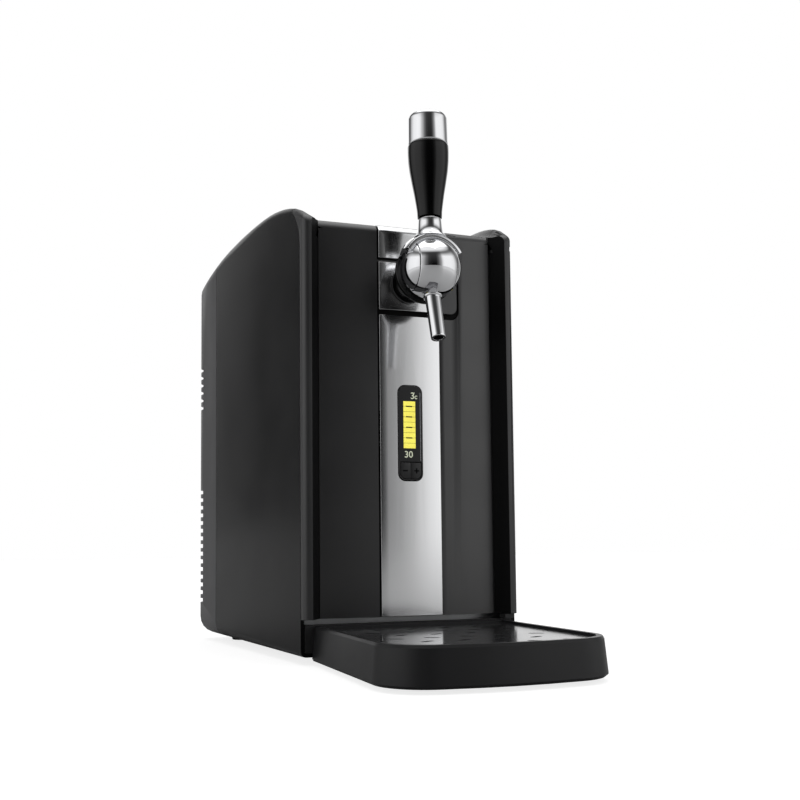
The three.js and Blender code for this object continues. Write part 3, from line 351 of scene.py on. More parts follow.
def brushed_sheet():
    """Long fine lines along Z with a little drift, as on a brushed and polished sheet."""
    if "Brushed sheet" in bpy.data.node_groups:
        return bpy.data.node_groups["Brushed sheet"]
    group, start, end = shader_group(
        "Brushed sheet",
        {
            "Lines": ("Float", 2600),
            "Length": ("Float", 12),
            "Roughness": ("Float", 0.12),
            "Spread": ("Float", 0.04),
        },
        {"Roughness": "Float", "Height": "Float"},
    )
    add, join = group.nodes.new, joiner(group)
    place = add("ShaderNodeTexCoord")
    vector = add("ShaderNodeCombineXYZ")
    stretch = add("ShaderNodeVectorMath")
    stretch.operation = "MULTIPLY"
    noise = add("ShaderNodeTexNoise")
    noise.inputs["Scale"].default_value = 1
    noise.inputs["Detail"].default_value = 2
    join(start, "Lines", vector, "X")
    join(start, "Lines", vector, "Y")
    join(start, "Length", vector, "Z")
    join(place, "Object", stretch, 0)
    join(vector, "Vector", stretch, 1)
    join(stretch, "Vector", noise, "Vector")
    middle, reach = start.outputs["Roughness"], start.outputs["Spread"]
    rough = calc(group, "MULTIPLY_ADD", noise.outputs["Fac"], reach, middle)
    group.links.new(rough, end.inputs["Roughness"])
    join(noise, "Fac", end, "Height")
    return group


def group_node(tree, group, values):
    node = tree.nodes.new("ShaderNodeGroup")
    node.node_tree = group
    for label, value in values.items():
        node.inputs[label].default_value = value
    return node


def shaded(colour, drift=1.25):
    """A colour and its lighter neighbour, as RGBA."""
    return (*colour, 1), (*[min(1, c * drift) for c in colour], 1)


def plain_material(name, metallic=0.0, specular=0.5):
    made = bpy.data.materials.new(name)
    made.use_nodes = True
    shader = made.node_tree.nodes["Principled BSDF"]
    shader.inputs["Metallic"].default_value = metallic
    shader.inputs["Specular IOR Level"].default_value = specular
    return made, made.node_tree, shader


def bump(tree, shader, height, strength, distance):
    node = tree.nodes.new("ShaderNodeBump")
    node.inputs["Strength"].default_value = strength
    node.inputs["Distance"].default_value = distance
    tree.links.new(height, node.inputs["Height"])
    tree.links.new(node.outputs["Normal"], shader.inputs["Normal"])


def moulded(
    name, colour, roughness=0.45, spread=0.05, grain=1800, strength=0.1, specular=0.5, metallic=0, drift=1.25
):
    """Moulded plastic, rubber, foam or cast metal: tint drift, grain and uneven gloss."""
    if name in bpy.data.materials:
        return bpy.data.materials[name]
    made, tree, shader = plain_material(name, metallic, specular)
    dark, light = shaded(colour, drift)
    tint = group_node(tree, tint_drift(), {"Dark": dark, "Light": light, "Scale": 9})
    surface = group_node(tree, moulded_grain(), {"Scale": grain, "Roughness": roughness, "Spread": spread})
    tree.links.new(tint.outputs["Color"], shader.inputs["Base Color"])
    tree.links.new(surface.outputs["Roughness"], shader.inputs["Roughness"])
    bump(tree, shader, surface.outputs["Height"], strength, 0.05 * MM)
    return made


def brushed(name, colour, roughness, spread=0.04, lines=2600, length=12, strength=0.03):
    """Rolled or brushed sheet metal."""
    if name in bpy.data.materials:
        return bpy.data.materials[name]
    made, tree, shader = plain_material(name, 1.0)
    dark, light = shaded(colour, 1.05)
    tint = group_node(tree, tint_drift(), {"Dark": dark, "Light": light, "Scale": 5})
    surface = group_node(
        tree, brushed_sheet(), {"Lines": lines, "Length": length, "Roughness": roughness, "Spread": spread}
    )
    tree.links.new(tint.outputs["Color"], shader.inputs["Base Color"])
    tree.links.new(surface.outputs["Roughness"], shader.inputs["Roughness"])
    bump(tree, shader, surface.outputs["Height"], strength, 0.02 * MM)
    return made


def lit(name, colour, strength):
    """A lit mark on the display, a little uneven."""
    if name in bpy.data.materials:
        return bpy.data.materials[name]
    made, tree, shader = plain_material(name)
    dark, light = shaded(colour, 1.12)
    tint = group_node(tree, tint_drift(), {"Dark": dark, "Light": light, "Scale": 160})
    tree.links.new(tint.outputs["Color"], shader.inputs["Base Color"])
    tree.links.new(tint.outputs["Color"], shader.inputs["Emission Color"])
    shader.inputs["Emission Strength"].default_value = strength
    shader.inputs["Roughness"].default_value = 0.4
    return made


def chrome():
    roughness = bpy.context.scene.keg_tap.chrome_roughness
    return moulded("Bright chrome", (0.78, 0.785, 0.8), roughness, 0.015, 600, 0.012, 0.5, 1.0, 1.03)


def black_gloss():
    return moulded("Gloss black", (0.002, 0.002, 0.0022), 0.07, 0.02, 900, 0.008, 0.3)


def plated_steel():
    return moulded("Plated steel", (0.56, 0.57, 0.58), 0.3, 0.06, 1200, 0.05, 0.5, 1.0, 1.1)


# Painted shade: near-black put on hollows, the panel's channel behind the bright pieces and the spout's bore
def painted_shade_black():
    return moulded("Dark gap", (0.002, 0.002, 0.002), 0.7, 0.05, 1500, 0.05, 0.2)


# Mesh helpers


def to_scene(name, mesh):
    made = bpy.data.objects.new(name, mesh)
    bpy.context.scene.collection.objects.link(made)
    return made


def smooth(mesh, angle=30):
    mesh.polygons.foreach_set("use_smooth", [True] * len(mesh.polygons))
    mesh.set_sharp_from_angle(angle=math.radians(angle))


def baked(piece):
    """Turns the piece's modifiers into a plain mesh."""
    graph = bpy.context.evaluated_depsgraph_get()
    mesh = bpy.data.meshes.new_from_object(piece.evaluated_get(graph), depsgraph=graph)
    piece.modifiers.clear()
    old = piece.data
    piece.data = mesh
    mesh.name = piece.name
    bpy.data.meshes.remove(old)
    return piece


def baked_text(letters):
    """Turns a text curve into a plain mesh object."""
    source = to_scene("letters", letters)
    graph = bpy.context.evaluated_depsgraph_get()
    mesh = bpy.data.meshes.new_from_object(source.evaluated_get(graph), depsgraph=graph)
    mesh.materials.clear()
    bpy.data.objects.remove(source)
    bpy.data.curves.remove(letters)
    return to_scene("letters", mesh)


def rounded_edges(piece, width, segments=2, angle=35):
    """Rounds the piece's sharp edges and keeps its flat faces flat."""
    smooth(piece.data, angle)
    edges = piece.modifiers.new("Edges", "BEVEL")
    edges.width = width
    edges.segments = segments
    edges.limit_method = "ANGLE"
    edges.angle_limit = math.radians(angle)
    edges.harden_normals = True
    return baked(piece)


def settled(piece, body, slot, *nodes):
    """Puts a finished piece in its body, in place of the CAD nodes that it stands for."""
    if nodes:
        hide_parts(*nodes)
    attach(piece, body)
    return piece


def clean_copy(node, name):
    """A copy of a CAD node with its vertices joined and its flat faces whole."""
    mesh = NODES[node].data.copy()
    mesh.materials.clear()
    form = bmesh.new()
    form.from_mesh(mesh)
    bmesh.ops.remove_doubles(form, verts=form.verts, dist=0.002 * MM)
    bmesh.ops.dissolve_limit(form, angle_limit=math.radians(0.4), verts=form.verts, edges=form.edges)
    form.to_mesh(mesh)
    form.free()
    return to_scene(name, mesh)


def dressed(node, name, material, width, segments=2, angle=35):
    """A CAD node's own shape with rounded edges and a finish."""
    piece = clean_copy(node, name)
    piece.data.materials.append(material)
    rounded_edges(piece, width, segments, angle)
    body, slot = NODE_HOME[node]
    return settled(piece, body, slot, node)


def home_of_nodes():
    """Each node's body and material slot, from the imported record."""
    record = frame["record"]
    slots = {part["node"]: part["material_slot"] for part in record["subparts"]}
    bodies = record["behaviour"]["bodies"]
    return {node: (body, slots[node]) for body, nodes in bodies.items() for node in nodes}


NODE_HOME = home_of_nodes()


def turned(name, profile, steps, axis="Z", place=None):
    """A solid of revolution from (radius, along) pairs in millimetres that start and end on the axis."""
    form = bmesh.new()
    skin(form, [circle(form, radius * MM, along * MM, steps) for radius, along in profile])
    mesh = outwards(name, form)
    if axis == "X":
        mesh.transform(Matrix.Rotation(math.pi / 2, 4, "Y"))
    if axis == "Y":
        mesh.transform(Matrix.Rotation(-math.pi / 2, 4, "X"))
    if place is not None:
        mesh.transform(place)
    smooth(mesh, 35)
    return to_scene(name, mesh)


def outwards(name, form):
    """A mesh from a form, with its faces turned outwards."""
    bmesh.ops.recalc_face_normals(form, faces=form.faces)
    mesh = bpy.data.meshes.new(name)
    form.to_mesh(mesh)
    form.free()
    return mesh


def skin(form, rings):
    """Lays faces between neighbouring rings of vertices; a ring of one vertex is a tip."""
    for low, high in zip(rings, rings[1:]):
        steps = max(len(low), len(high))
        for i in range(steps):
            j = (i + 1) % steps
            corners = [low[i % len(low)], low[j % len(low)], high[j % len(high)], high[i % len(high)]]
            unique = list(dict.fromkeys(corners))
            if len(unique) > 2:
                form.faces.new(unique)


def circle(form, radius, along, steps):
    """A ring of vertices round Z, or one vertex where the radius is zero."""
    if radius <= 0:
        return [form.verts.new((0, 0, along))]
    turns = [2 * math.pi * i / steps for i in range(steps)]
    return [form.verts.new((radius * math.cos(a), radius * math.sin(a), along)) for a in turns]


def joined(name, pieces):
    """One object from several, with their materials."""
    form = bmesh.new()
    materials = []
    for piece in pieces:
        offset = len(materials)
        materials += list(piece.data.materials)
        start = len(form.faces)
        form.from_mesh(piece.data)
        form.faces.ensure_lookup_table()
        for face in form.faces[start:]:
            face.material_index += offset
    mesh = bpy.data.meshes.new(name)
    form.to_mesh(mesh)
    form.free()
    for material in materials:
        mesh.materials.append(material)
    for piece in pieces:
        old = piece.data
        bpy.data.objects.remove(piece)
        bpy.data.meshes.remove(old)
    smooth(mesh, 35)
    return to_scene(name, mesh)


def plate(name, outline, front, back, material):
    """A flat plate in X and Z from an outline, between two depths in Y."""
    form = bmesh.new()
    near = [form.verts.new((x, front, z)) for x, z in outline]
    far = [form.verts.new((x, back, z)) for x, z in outline]
    form.faces.new(near)
    form.faces.new(far[::-1])
    for i in range(len(outline)):
        j = (i + 1) % len(outline)
        form.faces.new([near[j], near[i], far[i], far[j]])
    mesh = outwards(name, form)
    mesh.materials.append(material)
    return to_scene(name, mesh)


def box_outline(x0, x1, z0, z1):
    return [(x0, z0), (x1, z0), (x1, z1), (x0, z1)]


# Geometry nodes


def geometry_tree(name, inputs):
    tree = bpy.data.node_groups.new(name, "GeometryNodeTree")
    socket(tree, "OUTPUT", "Geometry", "Geometry")
    for label, kind in inputs.items():
        socket(tree, "INPUT", label, kind)
    return tree, tree.nodes.new("NodeGroupInput"), tree.nodes.new("NodeGroupOutput")


def grown(name, tree, values):
    """Runs a geometry tree on an empty mesh and keeps the result as a plain mesh."""
    piece = to_scene(name, bpy.data.meshes.new(name))
    modifier = piece.modifiers.new("Copies", "NODES")
    modifier.node_group = tree
    for item in tree.interface.items_tree:
        if item.in_out == "INPUT" and item.name in values:
            modifier[item.identifier] = values[item.name]
    return baked(piece)


def finished_copies(tree, start, copies, end):
    """Makes the copies real and gives them the tree's material."""
    add, join = tree.nodes.new, joiner(tree)
    real = add("GeometryNodeRealizeInstances")
    finish = add("GeometryNodeSetMaterial")
    join(copies, "Instances", real, "Geometry")
    join(real, "Geometry", finish, "Geometry")
    join(start, "Material", finish, "Material")
    join(finish, "Geometry", end, "Geometry")
    return tree


def row_tree():
    """A row of blocks along Z: count, pitch, block size and material."""
    name = "Row of blocks"
    if name in bpy.data.node_groups:
        return bpy.data.node_groups[name]
    tree, start, end = geometry_tree(
        name,
        {
            "Count": "Int",
            "Start": "Vector",
            "Step": "Vector",
            "Size": "Vector",
            "Material": "Material",
        },
    )
    add, join = tree.nodes.new, joiner(tree)
    line = add("GeometryNodeMeshLine")
    block = add("GeometryNodeMeshCube")
    copies = add("GeometryNodeInstanceOnPoints")
    join(start, "Count", line, "Count")
    join(start, "Start", line, "Start Location")
    join(start, "Step", line, "Offset")
    join(start, "Size", block, "Size")
    join(line, "Mesh", copies, "Points")
    join(block, "Mesh", copies, "Instance")
    return finished_copies(tree, start, copies, end)


def row_of_blocks(name, count, start, step, size, material):
    values = {"Count": count, "Start": start, "Step": step, "Size": size, "Material": material}
    return grown(name, row_tree(), values)


def screws_tree():
    """Screw heads at the corners of a rectangle, copied from one turned head."""
    name = "Screws at corners"
    if name in bpy.data.node_groups:
        return bpy.data.node_groups[name]
    tree, start, end = geometry_tree(
        name,
        {
            "Width": "Float",
            "Height": "Float",
            "Middle": "Vector",
            "Head": "Object",
            "Material": "Material",
        },
    )
    add, join = tree.nodes.new, joiner(tree)
    grid = add("GeometryNodeMeshGrid")
    grid.inputs["Vertices X"].default_value = 2
    grid.inputs["Vertices Y"].default_value = 2
    upright = add("GeometryNodeTransform")
    upright.inputs["Rotation"].default_value = (math.pi / 2, 0, 0)
    source = add("GeometryNodeObjectInfo")
    copies = add("GeometryNodeInstanceOnPoints")
    join(start, "Width", grid, "Size X")
    join(start, "Height", grid, "Size Y")
    join(start, "Middle", upright, "Translation")
    join(grid, "Mesh", upright, "Geometry")
    join(upright, "Geometry", copies, "Points")
    join(start, "Head", source, "Object")
    join(source, "Geometry", copies, "Instance")
    return finished_copies(tree, start, copies, end)


# Pieces


class KEG_OT_case(Operator):
    """Dress the side shells, roof, rear cover, base and feet"""

    bl_idname = "keg.case"
    bl_label = "Case"

    def execute(self, context):
        case = context.scene.keg_case
        body = moulded("Satin black case", case.colour[:], case.roughness, 0.03, 2200, 0.06, 0.16)
        rougher = case.roughness + 0.12
        rear = moulded("Rear cover plastic", case.rear_colour[:], rougher, 0.04, 2200, 0.1, 0.35)
        dressed("left_side_shell", "left_shell", body, case.edge)
        dressed("right_side_shell", "right_shell", body, case.edge)
        dressed("roof_cover", "roof", body, case.edge)
        dressed("rear_cover", "rear_shell", rear, case.edge / 2)
        under = moulded("Base plastic", (0.02, 0.02, 0.021), 0.6, 0.06, 1600, 0.15, 0.4)
        dressed("base_pan", "base", under, case.edge)
        rubber = moulded("Foot rubber", (0.012, 0.012, 0.012), 0.85, 0.05, 1100, 0.3, 0.3)
        for node in ("foot_front_left", "foot_front_right", "foot_rear_left", "foot_rear_right"):
            dressed(node, "pad_" + node, rubber, case.edge)
        return {"FINISHED"}


class KEG_OT_screws(Operator):
    """Make the cross-head screws of the rear cover"""

    bl_idname = "keg.screws"
    bl_label = "Rear screws"

    def execute(self, context):
        nodes = ["rear_screw_1", "rear_screw_2", "rear_screw_3", "rear_screw_4"]
        lows, highs = zip(*[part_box(node) for node in nodes])
        left, right = node_middle(nodes[0]), node_middle(nodes[1])
        top = node_middle(nodes[2])
        radius = (highs[0].x - lows[0].x) / 2 / MM
        length = (highs[0].y - lows[0].y) / MM
        under, shoulder, crown = length - SCREW_HEAD, length - SCREW_SHOULDER, length - SCREW_CROWN
        profile = [(0, 0), (SCREW_SHANK, 0), (SCREW_SHANK, under), (radius, under), (radius, shoulder)]
        profile += [(radius * SCREW_CROWN_SHARE, crown), (0, length)]
        head = turned("screw_head", profile, 24, "Y")
        cross = [self.bar(CROSS_REACH, CROSS_HALF, length), self.bar(CROSS_HALF, CROSS_REACH, length)]
        for cutter in cross:
            cut = head.modifiers.new("Cross", "BOOLEAN")
            cut.operation = "DIFFERENCE"
            cut.object = cutter
        baked(head)
        for cutter in cross:
            bpy.data.objects.remove(cutter)
        head.data.transform(Matrix.Translation((0, lows[0].y, 0)))
        values = {
            "Width": right.x - left.x,
            "Height": top.z - left.z,
            "Middle": ((left.x + right.x) / 2, 0, (left.z + top.z) / 2),
            "Head": head,
            "Material": plated_steel(),
        }
        screws = grown("rear_screws", screws_tree(), values)
        bpy.data.objects.remove(head)
        smooth(screws.data, 30)
        settled(screws, "cabinet", "steel", *nodes)
        return {"FINISHED"}

    def bar(self, half_x, half_z, length):
        """One bar of the cross that is cut into a head of this length."""
        outline = box_outline(-half_x * MM, half_x * MM, -half_z * MM, half_z * MM)
        return plate("bar", outline, (length - CROSS_DEPTH) * MM, (length + CROSS_OVERRUN) * MM, painted_shade_black())


class KEG_OT_door(Operator):
    """Dress the door's frame, bowed panel, foam, liner and seal"""

    bl_idname = "keg.door"
    bl_label = "Door"

    def execute(self, context):
        door = context.scene.keg_door
        panel_finish = moulded("Panel plastic", door.colour[:], 0.33, 0.04, 2200, 0.08, 0.85)
        cheek_finish = moulded("Cheek plastic", door.cheek_colour[:], 0.36, 0.04, 2200, 0.1, 0.6)
        # Painted shade: a near-black for the cheeks' inner walls stands in for the shade in the door's recess
        painted_shade_finish = moulded("Cheek inner walls", (0.003, 0.003, 0.0032), 0.5, 0.04, 2200, 0.1, 0.08)
        panel = clean_copy("front_panel", "bowed_panel")
        panel.data.materials.append(panel_finish)
        panel.data.materials.append(painted_shade_black())
        rounded_edges(panel, door.edge / 2, 2, 30)
        self.paint_channel_shade(panel.data)
        settled(panel, "door", "panel", "front_panel")
        cheeks = clean_copy("door_frame", "door_cheeks")
        cheeks.data.materials.append(cheek_finish)
        cheeks.data.materials.append(painted_shade_finish)
        self.paint_inner_wall_shade(cheeks.data)
        rounded_edges(cheeks, door.edge, 3, 30)
        settled(cheeks, "door", "cheek", "door_frame")
        foam = moulded("Door foam", (0.75, 0.72, 0.62), 0.9, 0.04, 700, 0.5, 0.2)
        dressed("door_foam", "door_core", foam, 0.3 * MM, 1)
        inner = moulded("Door liner plastic", (0.62, 0.63, 0.64), 0.4, 0.05, 1500, 0.1, 0.5)
        dressed("door_liner", "inner_door", inner, 0.9 * MM, 3)
        rubber = moulded("Seal rubber", (0.03, 0.03, 0.032), 0.75, 0.05, 900, 0.3, 0.3)
        dressed("door_seal", "door_gasket", rubber, 1.2 * MM, 3)
        return {"FINISHED"}

    def paint_inner_wall_shade(self, mesh):
        """Paints shade on the cheeks' slanted walls, which face the panel: they get the near-black, matte
        painted shade finish.
        """
        for face in mesh.polygons:
            inwards = -math.copysign(1, face.center.x) * face.normal.x
            if inwards > 0.3 and face.normal.y < -0.3:
                face.material_index = 1

    def paint_channel_shade(self, mesh):
        """Paints shade into the channel behind the bright pieces: its faces get the near-black painted shade
        material.
        """
        low_x = STRIP_LOW.x - CHANNEL_SPREAD
        high_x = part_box("tap_bay_plate")[1].x + CHANNEL_SPREAD
        near, far = CHANNEL_DEPTHS
        for face in mesh.polygons:
            middle = face.center
            inside = low_x < middle.x < high_x and middle.z < PANEL_HIGH.z - CHANNEL_TOP
            front = PANEL_LOW.y + PANEL_BOW * (middle.x / PANEL_HIGH.x) ** 2
            # Painted shade: recess faces in the channel get the near-black material
            if inside and front + near < middle.y < front + far and face.normal.y < 0.9:
                face.material_index = 1


class KEG_OT_strip(Operator):
    """Dress the bright strip, the bay plate behind the tap and the cap over the top"""

    bl_idname = "keg.strip"
    bl_label = "Bright strip"

    def execute(self, context):
        roughness = context.scene.keg_door.strip_roughness
        mirror = brushed("Polished strip", (0.86, 0.865, 0.875), roughness, 0.02, 1800, 5, 0.01)
        dark = moulded("Bay plastic", (0.04, 0.04, 0.042), 0.3, 0.04, 2200, 0.08, 0.6)
        sheets = {"bright_strip": "strip_main", "tap_bay_plate": "strip_bay", "strip_cap": "strip_top"}
        for node, name in sheets.items():
            sheet = clean_copy(node, name)
            self.narrow(sheet.data)
            sheet.data.materials.append(mirror)
            if node == "tap_bay_plate":
                sheet.data.materials.append(dark)
                self.darken_beyond_strip(sheet.data)
            rounded_edges(sheet, 0.35 * MM, 2, 40)
            body, slot = NODE_HOME[node]
            settled(sheet, body, slot, node)
        return {"FINISHED"}

    def narrow(self, mesh):
        """Draws the left edge in, so that a groove shows beside it, dark with the channel's painted shade."""
        for vertex in mesh.vertices:
            if vertex.co.x < STRIP_LOW.x + 0.2 * MM:
                vertex.co.x += GROOVE

    def darken_beyond_strip(self, mesh):
        """Cuts the bay plate at the strip's right edge and gives what lies beyond it the dark finish."""
        form = bmesh.new()
        form.from_mesh(mesh)
        whole = [*form.verts, *form.edges, *form.faces]
        bmesh.ops.bisect_plane(form, geom=whole, plane_co=(STRIP_HIGH.x, 0, 0), plane_no=(1, 0, 0))
        for face in form.faces:
            if face.calc_center_median().x > STRIP_HIGH.x:
                face.material_index = 1
        form.to_mesh(mesh)
        form.free()


class KEG_OT_display(Operator):
    """Make the display with its level bar, digits and two keys"""

    bl_idname = "keg.display"
    bl_label = "Display"

    def execute(self, context):
        settings = context.scene.keg_display
        glass = moulded("Display glass", (0.008, 0.008, 0.009), 0.1, 0.02, 600, 0.01, 0.5)
        dressed("display_window", "display_frame", glass, 0.7 * MM, 3, 40)
        front = WINDOW_LOW.y
        yellow = lit("Lit bar", settings.lit_colour[:], 0.6)
        pale = lit("Lit digits", settings.digit_colour[:], 0.45)
        tick = moulded("Bar tick", (0.02, 0.016, 0.004), 0.5, 0.05)
        high = WINDOW_HIGH.z - BAR_DROP
        pitch = settings.bar_height / settings.cells
        cells = row_of_blocks(
            "bar_cells",
            settings.cells,
            (BAR_MIDDLE, front - MARK_THICK / 2, high - pitch / 2),
            (0, 0, -pitch),
            (settings.bar_width, MARK_THICK, pitch - CELL_GAP),
            yellow,
        )
        ticks = row_of_blocks(
            "bar_ticks",
            settings.cells // 2,
            (BAR_MIDDLE - TICK_SHIFT, front - MARK_THICK * 0.8, high - pitch),
            (0, 0, -2 * pitch),
            (settings.bar_width * TICK_SHARE, MARK_THICK, TICK_HEIGHT),
            tick,
        )
        # Painted highlight: a thin grey strip in the window's bevel stands in for the bevel's highlight
        painted_highlight = moulded("Bevel line", (0.42, 0.42, 0.44), 0.3, 0.04)
        highlight_x = WINDOW_HIGH.x - BEVEL_HIGHLIGHT_INSET
        outline = box_outline(highlight_x, highlight_x + BEVEL_HIGHLIGHT_WIDTH, KEYS_HIGH.z + BEVEL_HIGHLIGHT_FOOT, WINDOW_HIGH.z - BEVEL_HIGHLIGHT_TOP)
        marks = [cells, ticks, plate("bevel_line", outline, front - 0.1 * MM, front + MARK_SINK, painted_highlight)]
        size = settings.digit_height
        above = high + DIGITS_ABOVE
        below = high - settings.bar_height - DIGITS_BELOW - size
        marks.append(self.written("3", BAR_MIDDLE + 1.0 * MM, above, size, front, pale))
        marks.append(self.written("c", BAR_MIDDLE + 4.5 * MM, above, size * 0.8, front, pale))
        marks.append(self.ring((BAR_MIDDLE + 4.1 * MM, above + size * 0.86), 0.6 * MM, front, pale))
        marks.append(self.written("30", BAR_MIDDLE - 4.8 * MM, below, size, front, pale))
        lights = joined("display_marks", marks)
        settled(lights, "door", "gloss")
        self.keys()
        board = moulded("Board green", (0.02, 0.1, 0.045), 0.45, 0.06, 900, 0.1, 0.5)
        dressed("display_board", "display_circuit", board, 0.15 * MM, 1)
        return {"FINISHED"}

    def written(self, text, left, foot, height, front, material):
        """Flat characters with their lower left corner at a place on the display."""
        letters = bpy.data.curves.new("letters", "FONT")
        letters.body = text
        letters.size = height / CHARACTER_SHARE
        letters.extrude = 0.06 * MM
        letters.offset = 0.05 * MM
        letters.resolution_u = 4
        drawn = baked_text(letters)
        upright = Matrix.Rotation(math.pi / 2, 4, "X")
        drawn.data.transform(Matrix.Translation((left, front - 0.05 * MM, foot)) @ upright)
        drawn.data.materials.append(material)
        return drawn

    def ring(self, middle, radius, front, material):
        """The small round mark of a degree."""
        near, inner = front - MARK_THICK, radius * 0.55
        form = bmesh.new()
        section = ((radius, near), (inner, near), (inner, front), (radius, front))
        rings = [circle(form, r, -y, 16) for r, y in section]
        skin(form, rings + rings[:1])
        mesh = outwards("degree", form)
        place = Matrix.Translation((middle[0], 0, middle[1])) @ Matrix.Rotation(math.pi / 2, 4, "X")
        mesh.transform(place)
        mesh.materials.append(material)
        return to_scene("degree", mesh)

    def keys(self):
        """The two keys, each with its sign."""
        face = moulded("Key plastic", (0.026, 0.026, 0.027), 0.45, 0.04, 1600, 0.1, 0.35)
        sign = moulded("Key sign", (0.002, 0.002, 0.002), 0.6, 0.05, 1600, 0.05, 0.04)
        for node, name in (("minus_button", "minus_key_cap"), ("plus_button", "plus_key_cap")):
            low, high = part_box(node)
            key = clean_copy(node, name)
            key.data.materials.append(face)
            rounded_edges(key, 0.5 * MM, 3, 40)
            x, z = (low.x + high.x) / 2, high.z - SIGN_DROP
            flat = box_outline(x - SIGN_REACH, x + SIGN_REACH, z - SIGN_HALF, z + SIGN_HALF)
            bars = [plate("bar", flat, low.y - 0.1 * MM, low.y + MARK_SINK, sign)]
            if node == "plus_button":
                upright = box_outline(x - SIGN_HALF, x + SIGN_HALF, z - SIGN_REACH, z + SIGN_REACH)
                bars.append(plate("bar", upright, low.y - 0.12 * MM, low.y + MARK_SINK, sign))
            made = joined(name, [key, *bars])
            body, slot = NODE_HOME[node]
            settled(made, body, slot, node)


